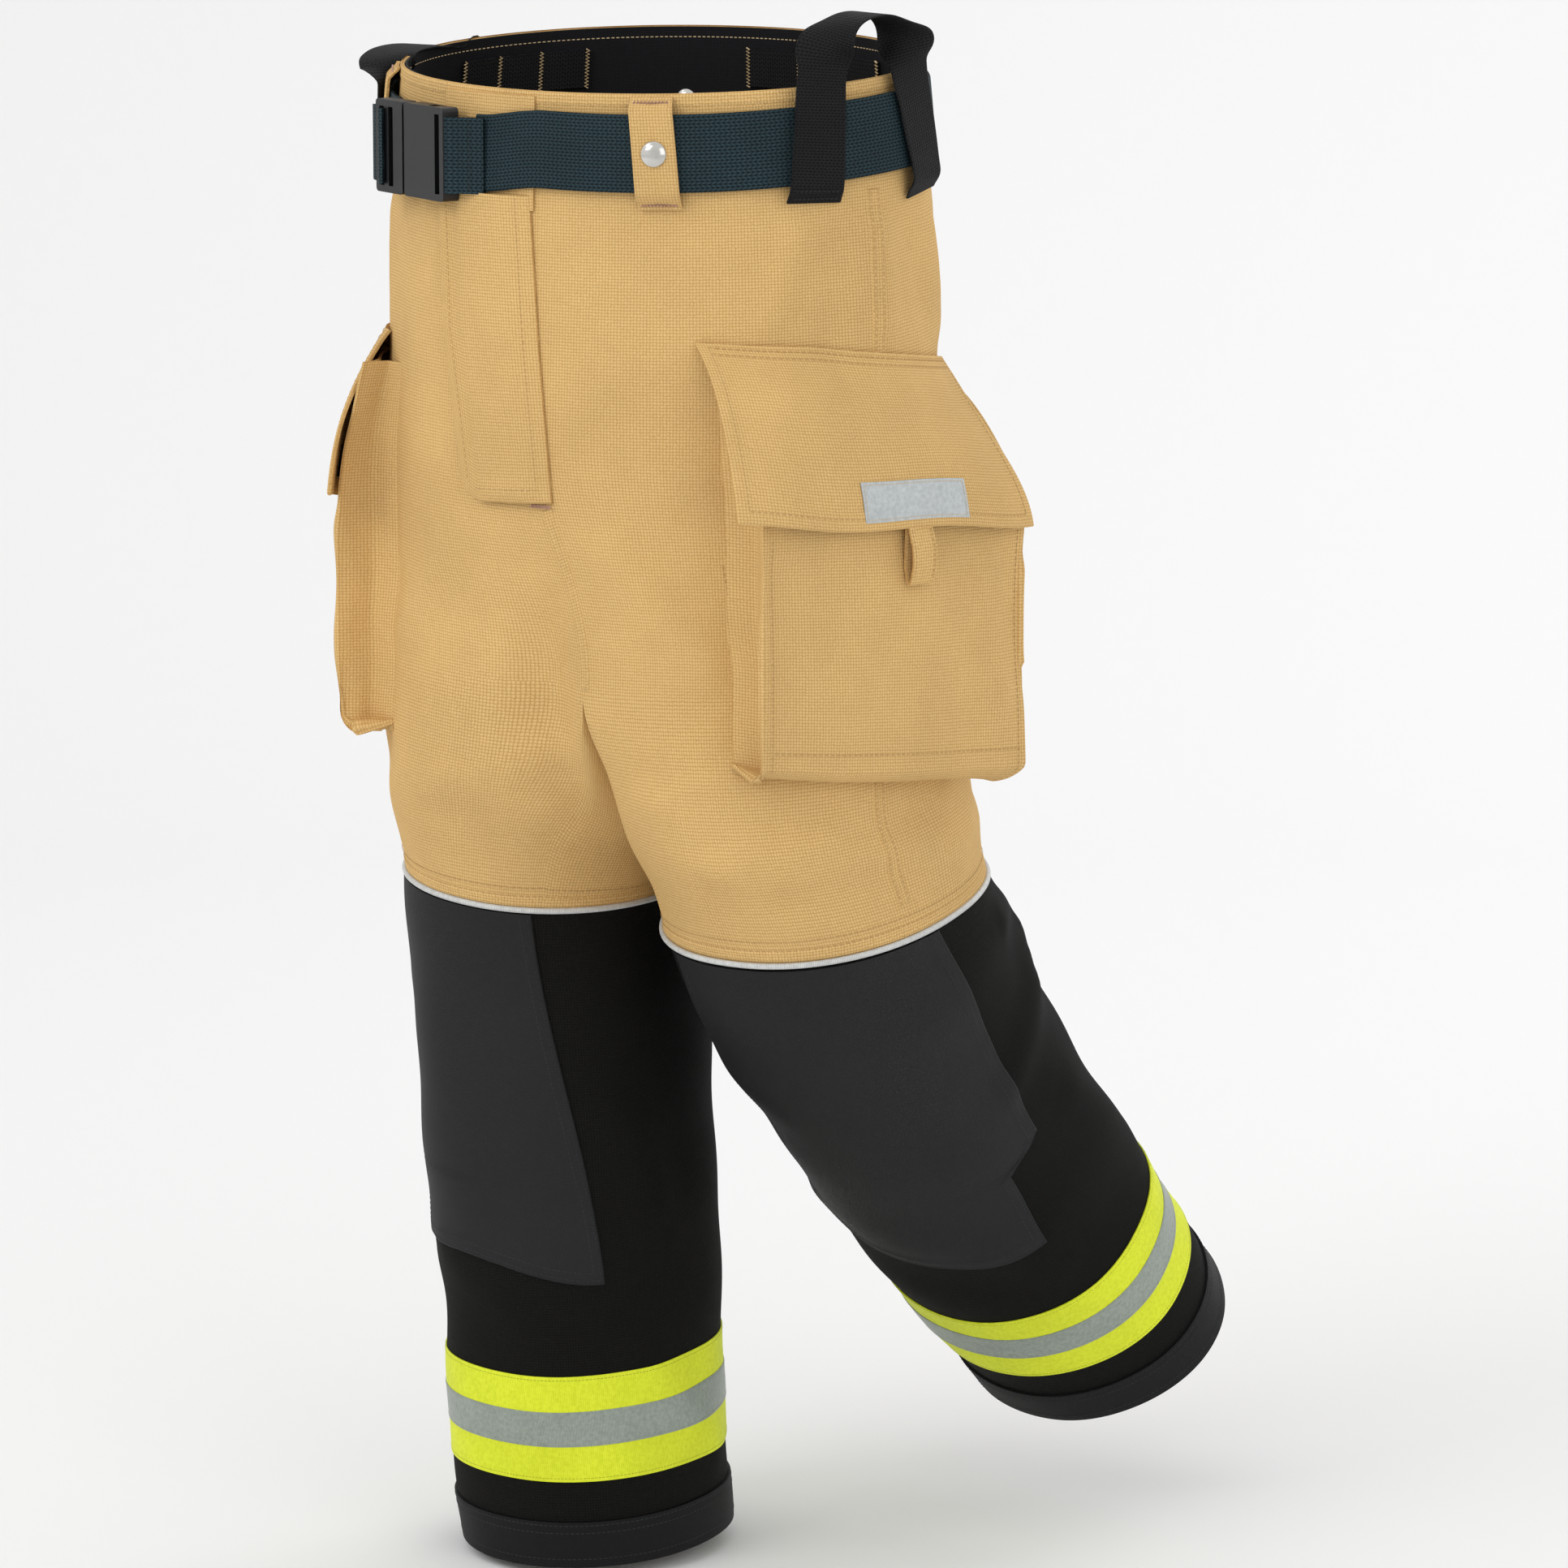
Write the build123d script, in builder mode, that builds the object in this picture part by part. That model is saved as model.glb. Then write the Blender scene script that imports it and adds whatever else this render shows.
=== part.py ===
from build123d import *
import os
from math import cos, dist, radians, sin

os.makedirs("parts", exist_ok=True)

# Turnout trousers, standing as worn with the left knee bent back.  Millimetres, +Z up, the wearer faces -Y
# and the wearer's left is +X.  The origin is the centre of the waist at the height of the side seams' tops.

# Cloth and webbing
SHELL = 2.0              # outer shell cloth, two layers at the seams
LINER = 2.5              # quilted thermal liner with its moisture barrier
LINER_GAP = 5.0          # from the shell's outside to the liner's outside
FIT_GAP = 0.4            # between layers that lie on each other
WEBBING = 2.4            # belt and loop webbing
BELT_WIDTH = 50.8        # two inch webbing
LOOP_WIDTH = 38.0        # one and a half inch webbing

# Trunk: an elliptical cone from the waist to the top of the legs
TRUNK_DROP = 400.0
WAIST_RX, WAIST_RY = 189.0, 139.0
HIP_RX, HIP_RY = 204.0, 153.0
WAIST_LIFT, WAIST_TILT = 4.0, 4.7       # the waist edge rises to the back
SIDE_SEAM_Y = -30.0
FACING_DEPTH, FACING_THICK = 75.0, 1.6
LINER_TOP_Z, LINER_END_GAP = -95.0, 2.0
SUSPENDER_DROPS, SUSPENDER_THICK = (14.0, 40.0), 2.0
FACING_SNAP_Z, FACING_SNAP_RADIUS, FACING_SNAP_THICK = -46.0, 7.0, 2.0
BELT_DROP = 14.0                        # waist edge to the belt's top edge

# Legs: centre, backward tilt and sideways roll of each section, then its half width and half depth
THIGH_SECTIONS = {
    "left": [
        ((103, 2, -400), 0, 0, 100, 142),
        ((104, 10, -480), 4, 0, 100, 136),
        ((113, 30, -562), 11, 0, 101, 120),
    ],
    "right": [
        ((-103, 2, -400), 0, 0, 100, 142),
        ((-100, 6, -480), 1, 3, 97, 132),
        ((-97, 12, -557), 3, 6, 94, 114),
    ],
}
KNEE_SECTIONS = {
    "left": [((120, 74, -622), 28, 0, 101, 112)],
    "right": [],
}
SHIN_SECTIONS = {
    "left": [((126, 147, -716), 38, 0, 97, 104), ((148, 333, -926), 38, 0, 95, 102)],
    "right": [((-90, 22, -770), 3, 0, 91, 105), ((-82, 36, -1031), 3, 0, 88, 98)],
}
PIPING_WIDTH, PIPING_PROUD = 4.0, 2.0
THIGH_OVERLAP = 10.0                    # cut above the thigh's first section, where the trunk ends
GUSSET_HALF, GUSSET_Z, GUSSET_DEPTH, GUSSET_THICK = 95.0, -402.0, 70.0, 1.6
PATCH_THICK, PATCH_PROUD = 1.8, 1.6
PATCH_TOP_GAP = 4.0                     # from the piping to the patch
SHIN_LINER_TOP, SHIN_LINER_BOTTOM = 5.0, 12.0
PATCH_INNER, PATCH_BACK = 48.0, 35.0    # from the leg's centre line to the patch's inner and rear edges
PATCH_ABOVE_HEM = 200.0
TRIM_ABOVE_HEM, TRIM_WIDTH, SILVER_WIDTH = 62.0, 76.2, 25.4
TRIM_THICK, SILVER_THICK = 0.8, 0.4
CUFF_HEIGHT, CUFF_THICK = 33.0, 1.6

# Fly: a flap hinged on the left of centre over a zipper
FLY_FREE_X, FLY_SEAM_X = -85.0, -2.0
FLY_TOP, FLY_BOTTOM = -86.0, -283.0
FLY_PROUD, FLY_THICK = 5.8, 2.2
TAPE_WIDTH, TAPE_THICK, TAPE_INSET = 22.0, 1.0, 4.0
PLACKET_GAP, PLACKET_DROP = 2.0, 2.0     # above the flap, and below the waist edge
ZIP_ANGLE, ZIP_TAPE_WIDTH = -12.0, 28.0
ZIP_TOP, ZIP_BOTTOM = -90.0, -272.0
ZIP_TAPE_TOP = 1.2
TOOTH_PITCH, TOOTH_WIDTH, TOOTH_HEIGHT = 6.0, 6.0, 3.0
TEETH_BASE, TOOTH_TOP = 1.4, 3.0
SLIDER_WIDTH, SLIDER_LENGTH, SLIDER_BASE, SLIDER_TOP = 11.0, 14.0, 1.6, 4.6
SLIDER_SIDE_GAP, SLIDER_CORNER = 0.6, 2.0
PULL_WIDTH, PULL_LENGTH, PULL_THICK, PULL_GAP = 6.0, 24.0, 0.8, 1.0

# Belt and its side release buckle, whose own frame is x along the belt, y up and z outward
BELT_PROUD = 3.2
BUCKLE_ANGLE, BUCKLE_Z, BUCKLE_PROUD = -32.0, -51.4, 6.0
BELT_GAP = (-47.0, -15.5)               # the stretch that the buckle bridges
BUCKLE_WIDTH, BUCKLE_THICK, BUCKLE_WALL = 62.0, 12.0, 2.4
MOUTH_X, FEMALE_END_X = -8.0, 44.0
CAVITY_END_X, CAVITY_HALF = 29.0, 25.4
# Window in a side wall; its slanted end holds the prong's barb, which leaves along the same slope
WINDOW = ((7, 25), (20.3, 31.5), (28, 31.5), (28, 25))
PRONG = (
    (-9.2, 15.5), (0, 14), (27, 15), (28, 20), (26, 26),
    (23.5, 30.5), (9.8, 24.6), (9.2, 20), (0, 20), (-9.2, 18.5),
)
MALE_END_X, MALE_FRONT_X, GUIDE_END_X, GUIDE_WIDTH = -46.0, -10.4, 2.0, 10.0
STRAP_SLOT, SLOT_SPACE, SLOT_WALL, SLOT_STEP = 6.0, 2.0, 5.0, 12.0
PRONG_THICK = 6.0
JOINT_SUNK = 1.6                        # overlap of two features of one solid
WEB_FOLD = ((34, -0.6), (44, -0.6), (53, -6.4), (53, -8.8), (43.5, -3.0), (34, -3.0))
TAIL_LENGTH, TAIL_THICK, TAIL_PROUD, TAIL_GAP = 18.0, 4.8, 1.0, 0.4

# Loops, measured by the angle round the waist from the front centre towards the wearer's left
SNAP_LOOP_ANGLES = {"left": 25.0, "right": -63.0}
SNAP_LOOP_WIDTH = 34.0
REAR_LOOP_ANGLES = (180.0, 138.0, -138.0)
LOOP_DROP, LOOP_LENGTH, LOOP_FOOT = 2.0, 74.0, 6.0
LOOP_DEPTH, LOOP_PROUD = 8.4, 2.2
CAP_RADIUS, CAP_HEIGHT, CAP_TAPER = 8.0, 2.6, 25.0
DONNING_ANGLES = {"left": (64.0, 94.0), "right": (-120.0, -80.0)}
DONNING_LEG_TOPS = {"left": 15.6, "right": 9.1}
ARCH_HEIGHTS, ARCH_DEPTHS = {"left": 30.0, "right": 16.0}, {"left": 34.0, "right": 14.0}
ARCH_GAP = 3.4           # room for the arch to fold over its legs
SUSPENDER_SECTORS = ((-137.0, -102.0), (146.0, 185.0))
FACING_SNAP_ANGLES = (-121.0, 160.0, 121.0, -160.0)

# Bellows pocket on each hip, in plan: a face plane turned from the front, and distances along it
POCKET_TURN = 73.0
POCKET_FACE, POCKET_CROWN = 207.0, 18.0
POCKET_FRONT, POCKET_BACK = -84.0, 146.0
POCKET_BOTTOM, POCKET_HEIGHT = -470.0, 262.0
POCKET_WALL = 2.2
POCKET_ROOTS = ((101.0, -104.0), (157.0, 49.0))     # ends of the side walls, inside the trunk
FLAP_HINGE_OUT, FLAP_HINGE_Z, FLAP_LEAN = 200.0, -178.0, 14.0
FLAP_SPAN = (-98.0, 148.0)
FLAP_LENGTH, FLAP_THICK, FLAP_CLEAR, FLAP_CORNER = 116.0, 2.4, 3.0, 6.0
FLAP_TAPE_MARGIN, FLAP_TAPE_GAP = 30.0, 0.2
PULL_TAB_WIDTH, PULL_TAB_LENGTH = 20.0, 32.0
PULL_TAB_GAP, PULL_TAB_SHIFT = 3.6, 3.0
LABEL_WIDTH, LABEL_HEIGHT, LABEL_THICK = 84.0, 26.0, 0.6
LABEL_MARGIN, LABEL_CORNER = 4.0, 2.0

FAR = 400.0              # beyond every piece, for cutting prisms


def save(part, label):
    part.label = label
    export_step(part, f"parts/{label}.step")


def direction(angle):
    """Horizontal unit vector at an angle from the front centre towards the wearer's left."""
    return Vector(sin(radians(angle)), -cos(radians(angle)), 0)


def trunk_radii(z):
    fraction = -z / TRUNK_DROP
    return WAIST_RX + (HIP_RX - WAIST_RX) * fraction, WAIST_RY + (HIP_RY - WAIST_RY) * fraction


def trunk_plane(angle, z, proud=0.0):
    """Plane on the trunk's surface: x round the waist, y up, z outward."""
    rx, ry = trunk_radii(z)
    point = Vector(rx * sin(radians(angle)), -ry * cos(radians(angle)), z)
    outward = Vector(point.X / rx**2, point.Y / ry**2, 0).normalized()
    return Plane(point + outward * proud, x_dir=outward.cross(Vector(0, 0, -1)), z_dir=outward)


def waist_plane(drop):
    tilt = radians(WAIST_TILT)
    return Plane((0, 0, WAIST_LIFT - drop), z_dir=(0, -sin(tilt), cos(tilt)))


def section_plane(section):
    """Plane square to a leg at one of its sections."""
    centre, tilt, roll, _, _ = section
    return Plane(Location(centre, (tilt, roll, 0)))


def tube(sections, inner, outer, shift=(0.0, 0.0)):
    """Loft through leg sections, the first and last moved along their own axes by shift.

    It is hollow unless inner is None.
    """
    planes = [section_plane(section) for section in sections]
    planes[0] = planes[0].offset(shift[0])
    planes[-1] = planes[-1].offset(shift[1])
    with BuildPart() as ring:
        for grow, mode in ((outer, Mode.ADD), (inner, Mode.SUBTRACT)):
            if grow is None:
                continue
            for plane, section in zip(planes, sections):
                with BuildSketch(plane):
                    Ellipse(section[3] + grow, section[4] + grow)
            loft(mode=mode)
    return ring.part


def trunk_section(z):
    return ((0, 0, z), 0, 0, *trunk_radii(z))


def trunk_tube(top, bottom, inner, outer):
    return tube([trunk_section(top), trunk_section(bottom)], inner, outer)


def sector(start, end):
    """Prism round the origin between two angles, under 180 degrees apart."""
    points = [direction(angle) * FAR * 2 for angle in (start, (start + end) / 2, end)]
    with BuildPart() as wedge:
        with BuildSketch():
            Polygon((0, 0), *[(p.X, p.Y) for p in points], align=None)
        extrude(amount=FAR, both=True)
    return wedge.part


def waist_band(drop_top, drop_bottom, inner, outer):
    """Band round the waist, level with the tilted waist edge."""
    with BuildPart() as band:
        add(trunk_tube(FAR / 10, -drop_bottom - FAR / 10, inner, outer))
        split(bisect_by=waist_plane(drop_top), keep=Keep.BOTTOM)
        split(bisect_by=waist_plane(drop_bottom), keep=Keep.TOP)
    return band.part


def front_strip(x_start, x_end, z_top, z_bottom, inner, outer):
    """Upright strip that follows the trunk's front."""
    with BuildPart() as strip:
        add(trunk_tube(z_top, z_bottom, inner, outer))
        with BuildSketch():
            Polygon((x_start, 0), (x_end, 0), (x_end, -FAR), (x_start, -FAR), align=None)
        extrude(amount=FAR, both=True, mode=Mode.INTERSECT)
    return strip.part


def shin_section(side, above_hem):
    """Section of the straight lower leg at a height along it above the hem."""
    start, hem = SHIN_SECTIONS[side]
    fraction = 1 - above_hem / dist(start[0], hem[0])
    centre = tuple(a + (b - a) * fraction for a, b in zip(start[0], hem[0]))
    half_width, half_depth = (a + (b - a) * fraction for a, b in zip(start[3:], hem[3:]))
    return (centre, hem[1], hem[2], half_width, half_depth)


def shin_tube(side, top, bottom, inner, outer):
    return tube([shin_section(side, top), shin_section(side, bottom)], inner, outer)


def mirrored(part):
    with BuildPart() as other:
        mirror(part, about=Plane.YZ)
    return other.part


# ---- Outer shell: four trunk panels, two thighs and the gusset between them
for side, side_keep in (("left", Keep.TOP), ("right", Keep.BOTTOM)):
    for face, face_keep in (("back", Keep.BOTTOM), ("front", Keep.TOP)):
        with BuildPart() as panel:
            add(trunk_tube(FAR / 10, -TRUNK_DROP, -SHELL, 0))
            split(bisect_by=waist_plane(0), keep=Keep.BOTTOM)
            split(bisect_by=Plane.YZ, keep=side_keep)
            split(bisect_by=Plane.XZ.offset(-SIDE_SEAM_Y), keep=face_keep)
        save(panel.part, f"shell_{face}_{side}")

for side, sections in THIGH_SECTIONS.items():
    save(tube(sections, -SHELL, 0, (0, PIPING_WIDTH / 2)), f"thigh_{side}")
    piping = [sections[-1], sections[-1]]
    save(tube(piping, -SHELL, PIPING_PROUD, (PIPING_WIDTH / 2, -PIPING_WIDTH / 2)), f"piping_{side}")

with BuildPart() as gusset:
    with BuildSketch(Plane.YZ):
        Polygon((-GUSSET_HALF, GUSSET_Z), (0, GUSSET_Z - GUSSET_DEPTH), (GUSSET_HALF, GUSSET_Z), align=None)
    extrude(amount=GUSSET_THICK / 2, both=True)
save(gusset.part, "crotch_gusset")

# ---- Linings: the black waist facing and the quilted thermal liner of the trunk and thighs
facing_outer = -SHELL - FIT_GAP
facing_inner = facing_outer - FACING_THICK
save(waist_band(0, FACING_DEPTH, facing_inner, facing_outer), "waist_facing")
with BuildPart() as liner:
    add(trunk_tube(LINER_TOP_Z, LINER_END_GAP - TRUNK_DROP, -LINER_GAP - LINER, -LINER_GAP))
    for sections in THIGH_SECTIONS.values():
        add(tube(sections, -LINER_GAP - LINER, -LINER_GAP, (-LINER_END_GAP, LINER_END_GAP)))
save(liner.part, "thermal_liner")

# ---- Lower legs: a soft knee section that bends, and the shin with its trims
for side in ("left", "right"):
    knee = [THIGH_SECTIONS[side][-1], *KNEE_SECTIONS[side], SHIN_SECTIONS[side][0]]
    save(tube(knee, -SHELL, 0, (-PIPING_WIDTH / 2, 0)), f"knee_section_{side}")
    shin_length = dist(*(section[0] for section in SHIN_SECTIONS[side]))
    save(shin_tube(side, shin_length, 0, -SHELL, 0), f"shin_{side}")
    shin_liner_top = shin_length - SHIN_LINER_TOP
    shin_liner = shin_tube(side, shin_liner_top, SHIN_LINER_BOTTOM, -LINER_GAP - LINER, -LINER_GAP)
    save(shin_liner, f"shin_liner_{side}")
    lime_top = TRIM_ABOVE_HEM + TRIM_WIDTH
    save(shin_tube(side, lime_top, TRIM_ABOVE_HEM, FIT_GAP, FIT_GAP + TRIM_THICK), f"trim_lime_{side}")
    silver_bottom = TRIM_ABOVE_HEM + (TRIM_WIDTH - SILVER_WIDTH) / 2
    silver_inner = FIT_GAP + TRIM_THICK + FIT_GAP / 2
    silver_outer = silver_inner + SILVER_THICK
    silver = shin_tube(side, silver_bottom + SILVER_WIDTH, silver_bottom, silver_inner, silver_outer)
    save(silver, f"trim_silver_{side}")
    save(shin_tube(side, CUFF_HEIGHT, 0, FIT_GAP, FIT_GAP + CUFF_THICK), f"cuff_{side}")

    out = 1 if side == "left" else -1
    patch_outer = PATCH_PROUD + PATCH_THICK
    lower = shin_section(side, PATCH_ABOVE_HEM)
    with BuildPart() as patch:
        add(tube(knee, PATCH_PROUD, patch_outer, (-PATCH_TOP_GAP, 0)))
        add(tube([SHIN_SECTIONS[side][0], lower], PATCH_PROUD, patch_outer))
        inner_edge = Plane((knee[-1][0][0] - out * PATCH_INNER, 0, 0), z_dir=(out, 0, 0))
        split(bisect_by=inner_edge, keep=Keep.TOP)
        top, bottom = Vector(knee[0][0]), Vector(lower[0])
        down = (bottom - top).normalized()
        forward = Vector(1, 0, 0).cross(down).normalized()
        split(bisect_by=Plane(bottom + forward * PATCH_BACK, z_dir=forward), keep=Keep.TOP)
    save(patch.part, f"knee_patch_{side}")

# ---- Fly: fixed placket under the belt, hinged flap below it, zipper and hook and loop tapes
fly_outer = FLY_PROUD + FLY_THICK
with BuildPart() as placket:
    placket_bottom = FLY_TOP + PLACKET_GAP
    add(front_strip(FLY_FREE_X, FLY_SEAM_X, FAR / 10, placket_bottom, FIT_GAP, FIT_GAP + FLY_THICK))
    split(bisect_by=waist_plane(PLACKET_DROP), keep=Keep.BOTTOM)
save(placket.part, "fly_placket")
save(front_strip(FLY_FREE_X, FLY_SEAM_X, FLY_TOP, FLY_BOTTOM, FLY_PROUD, fly_outer), "fly_flap")
tape_x = FLY_FREE_X + TAPE_INSET
loop_tape = front_strip(tape_x, tape_x + TAPE_WIDTH, ZIP_TOP, ZIP_BOTTOM, FIT_GAP, FIT_GAP + TAPE_THICK)
save(loop_tape, "fly_loop_tape")
hook_tape = front_strip(tape_x, tape_x + TAPE_WIDTH, ZIP_TOP, ZIP_BOTTOM, FLY_PROUD - TAPE_THICK, FLY_PROUD)
save(hook_tape, "fly_hook_tape")

# The zipper runs down one straight line of the trunk's cone
zip_x = trunk_plane(ZIP_ANGLE, ZIP_TOP).origin.X
tape_half = ZIP_TAPE_WIDTH / 2
zip_tape = front_strip(zip_x - tape_half, zip_x + tape_half, ZIP_TOP, ZIP_BOTTOM, FIT_GAP, ZIP_TAPE_TOP)
save(zip_tape, "zipper_tape")
with BuildPart() as teeth:
    for index in range(int((ZIP_TOP - ZIP_BOTTOM) / TOOTH_PITCH)):
        z = ZIP_TOP - TOOTH_PITCH * (index + 0.5)
        with BuildSketch(trunk_plane(ZIP_ANGLE, z, TEETH_BASE)):
            Rectangle(TOOTH_WIDTH, TOOTH_HEIGHT)
        extrude(amount=TOOTH_TOP - TEETH_BASE)
save(teeth.part, "zipper_teeth")

slider_frame = trunk_plane(ZIP_ANGLE, ZIP_TOP - SLIDER_LENGTH, SLIDER_BASE)
with BuildPart() as slider:
    with BuildSketch(slider_frame):
        RectangleRounded(SLIDER_WIDTH, SLIDER_LENGTH, SLIDER_CORNER)
    extrude(amount=SLIDER_TOP - SLIDER_BASE)
    with BuildSketch(slider_frame):
        Rectangle(TOOTH_WIDTH + 2 * SLIDER_SIDE_GAP, SLIDER_LENGTH * 2)
    extrude(amount=TOOTH_TOP - SLIDER_BASE + FIT_GAP, mode=Mode.SUBTRACT)
save(slider.part, "zipper_slider")
pull_z = ZIP_TOP - SLIDER_LENGTH * 1.5 - PULL_GAP - PULL_LENGTH / 2
with BuildPart() as pull:
    with BuildSketch(trunk_plane(ZIP_ANGLE, pull_z, TOOTH_TOP + 2 * FIT_GAP)):
        RectangleRounded(PULL_WIDTH, PULL_LENGTH, SLIDER_CORNER)
    extrude(amount=PULL_THICK)
save(pull.part, "zipper_pull")

# ---- Belt: one webbing band, ending in the fold that holds the buckle's female half
buckle = trunk_plane(BUCKLE_ANGLE, BUCKLE_Z, BUCKLE_PROUD)
buckle_side = Plane(buckle.origin, x_dir=buckle.x_dir, z_dir=-buckle.y_dir)
with BuildPart() as belt:
    add(waist_band(BELT_DROP, BELT_DROP + BELT_WIDTH, BELT_PROUD, BELT_PROUD + WEBBING))
    add(sector(*BELT_GAP), mode=Mode.SUBTRACT)
    with BuildSketch(buckle_side):
        Polygon(*WEB_FOLD, align=None)
    extrude(amount=BELT_WIDTH / 2, both=True)
save(belt.part, "belt_webbing")


def buckle_plate(x_start, x_end, width, corner=3.0):
    """Sketch of a rounded plate in the buckle's plane."""
    with Locations(((x_start + x_end) / 2, 0)):
        RectangleRounded(x_end - x_start, width, corner)


with BuildPart() as female:
    with BuildSketch(buckle):
        buckle_plate(MOUTH_X, FEMALE_END_X, BUCKLE_WIDTH)
    extrude(amount=BUCKLE_THICK)
    with BuildSketch(buckle.offset(BUCKLE_WALL)):
        with Locations(((MOUTH_X - JOINT_SUNK + CAVITY_END_X) / 2, 0)):
            Rectangle(CAVITY_END_X - MOUTH_X + JOINT_SUNK, 2 * CAVITY_HALF)
        Polygon(*WINDOW, align=None)
        Polygon(*[(x, -y) for x, y in WINDOW], align=None)
    extrude(amount=BUCKLE_THICK - 2 * BUCKLE_WALL, mode=Mode.SUBTRACT)
    with BuildSketch(buckle):
        with Locations((FEMALE_END_X - SLOT_WALL - STRAP_SLOT / 2, 0)):
            Rectangle(STRAP_SLOT, BELT_WIDTH + SLOT_SPACE)
    extrude(amount=BUCKLE_THICK, mode=Mode.SUBTRACT)
save(female.part, "buckle_female")

prong_plane = buckle.offset((BUCKLE_THICK - PRONG_THICK) / 2)
with BuildPart() as male:
    with BuildSketch(buckle):
        buckle_plate(MALE_END_X, MALE_FRONT_X, BUCKLE_WIDTH)
        first_slot = MALE_END_X + SLOT_WALL + STRAP_SLOT / 2
        for x in (first_slot, first_slot + SLOT_STEP):
            with Locations((x, 0)):
                Rectangle(STRAP_SLOT, BELT_WIDTH + SLOT_SPACE, mode=Mode.SUBTRACT)
    extrude(amount=BUCKLE_THICK)
    with BuildSketch(prong_plane):
        with Locations(((MALE_FRONT_X - JOINT_SUNK + GUIDE_END_X) / 2, 0)):
            Rectangle(GUIDE_END_X - MALE_FRONT_X + JOINT_SUNK, GUIDE_WIDTH)
    extrude(amount=PRONG_THICK)
save(male.part, "buckle_male")

for label, flip in (("upper", 1), ("lower", -1)):
    with BuildPart() as prong:
        with BuildSketch(prong_plane):
            Polygon(*[(x, y * flip) for x, y in PRONG], align=None)
        extrude(amount=PRONG_THICK)
    save(prong.part, f"buckle_prong_{label}")

with BuildPart() as tail:
    with BuildSketch(buckle.offset(TAIL_PROUD)):
        with Locations((MALE_END_X - TAIL_GAP - TAIL_LENGTH / 2, 0)):
            Rectangle(TAIL_LENGTH, BELT_WIDTH)
    extrude(amount=TAIL_THICK)
save(tail.part, "belt_tail")


# ---- Loops over the belt
def staple(angle, width, thick, top=None):
    """Strap with a foot above and below the belt; top raises it past its upper foot."""
    waist_rise = -cos(radians(angle)) * WAIST_RY * sin(radians(WAIST_TILT))
    middle = WAIST_LIFT + waist_rise - LOOP_DROP - LOOP_LENGTH / 2
    frame = trunk_plane(angle, middle, LOOP_PROUD)
    side_view = Plane(frame.origin, x_dir=frame.z_dir, z_dir=-frame.x_dir)
    with BuildPart() as strap:
        with BuildSketch(side_view):
            with Locations((LOOP_DEPTH / 2, 0)):
                Rectangle(LOOP_DEPTH, LOOP_LENGTH)
            with Locations(((LOOP_DEPTH - thick) / 2, 0)):
                Rectangle(LOOP_DEPTH - thick, LOOP_LENGTH - 2 * LOOP_FOOT, mode=Mode.SUBTRACT)
            if top is not None:
                height = top - middle - LOOP_LENGTH / 2
                with Locations((LOOP_DEPTH - thick / 2, LOOP_LENGTH / 2 + height / 2)):
                    Rectangle(thick, height)
        extrude(amount=width / 2, both=True)
    return strap.part, frame


for side, angle in SNAP_LOOP_ANGLES.items():
    strap, frame = staple(angle, SNAP_LOOP_WIDTH, SHELL)
    save(strap, f"snap_loop_{side}")
    with BuildPart() as cap:
        with BuildSketch(frame.offset(LOOP_DEPTH)):
            Circle(CAP_RADIUS)
        extrude(amount=CAP_HEIGHT, taper=CAP_TAPER)
    save(cap.part, f"snap_cap_{side}")

with BuildPart() as rear_loops:
    for angle in REAR_LOOP_ANGLES:
        add(staple(angle, SNAP_LOOP_WIDTH, SHELL)[0])
save(rear_loops.part, "rear_belt_loops")

for side, angles in DONNING_ANGLES.items():
    leg_top, arch_height = DONNING_LEG_TOPS[side], ARCH_HEIGHTS[side]
    ends = []
    with BuildPart() as legs:
        for angle in angles:
            strap, frame = staple(angle, LOOP_WIDTH, WEBBING, leg_top)
            add(strap)
            end = frame.origin + frame.z_dir * (LOOP_DEPTH - WEBBING / 2)
            ends.append(Vector(end.X, end.Y, leg_top + ARCH_GAP))
    save(legs.part, f"donning_legs_{side}")
    middle = (ends[0] + ends[1]) / 2
    across = (ends[1] - ends[0]).normalized()
    arch_plane = Plane(middle, x_dir=across, z_dir=across.cross(Vector(0, 0, 1)))
    half_span = (ends[1] - ends[0]).length / 2 + WEBBING / 2
    with BuildPart() as arch:
        with BuildSketch(arch_plane):
            Ellipse(half_span, arch_height)
            Ellipse(half_span - WEBBING, arch_height - WEBBING, mode=Mode.SUBTRACT)
            with Locations((0, -FAR / 2)):
                Rectangle(FAR, FAR, mode=Mode.SUBTRACT)
        extrude(amount=ARCH_DEPTHS[side] / 2, both=True)
    save(arch.part, f"donning_arch_{side}")

# ---- Inside the waist: suspender webbing and snap caps on the facing
webbing_outer = facing_inner - FIT_GAP
with BuildPart() as webbing:
    for start, end in SUSPENDER_SECTORS:
        add(waist_band(*SUSPENDER_DROPS, webbing_outer - SUSPENDER_THICK, webbing_outer) & sector(start, end))
save(webbing.part, "suspender_webbing")
with BuildPart() as facing_snaps:
    for angle in FACING_SNAP_ANGLES:
        with BuildSketch(trunk_plane(angle, FACING_SNAP_Z, webbing_outer)):
            Circle(FACING_SNAP_RADIUS)
        extrude(amount=-FACING_SNAP_THICK)
save(facing_snaps.part, "facing_snaps")

# ---- Bellows pocket: a cloth box whose face is bowed, closed at the back by the trunk itself
outward = direction(POCKET_TURN)
along = Vector(0, 0, 1).cross(outward)


def pocket_point(distance, out):
    point = outward * out + along * distance
    return point.X, point.Y


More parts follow.
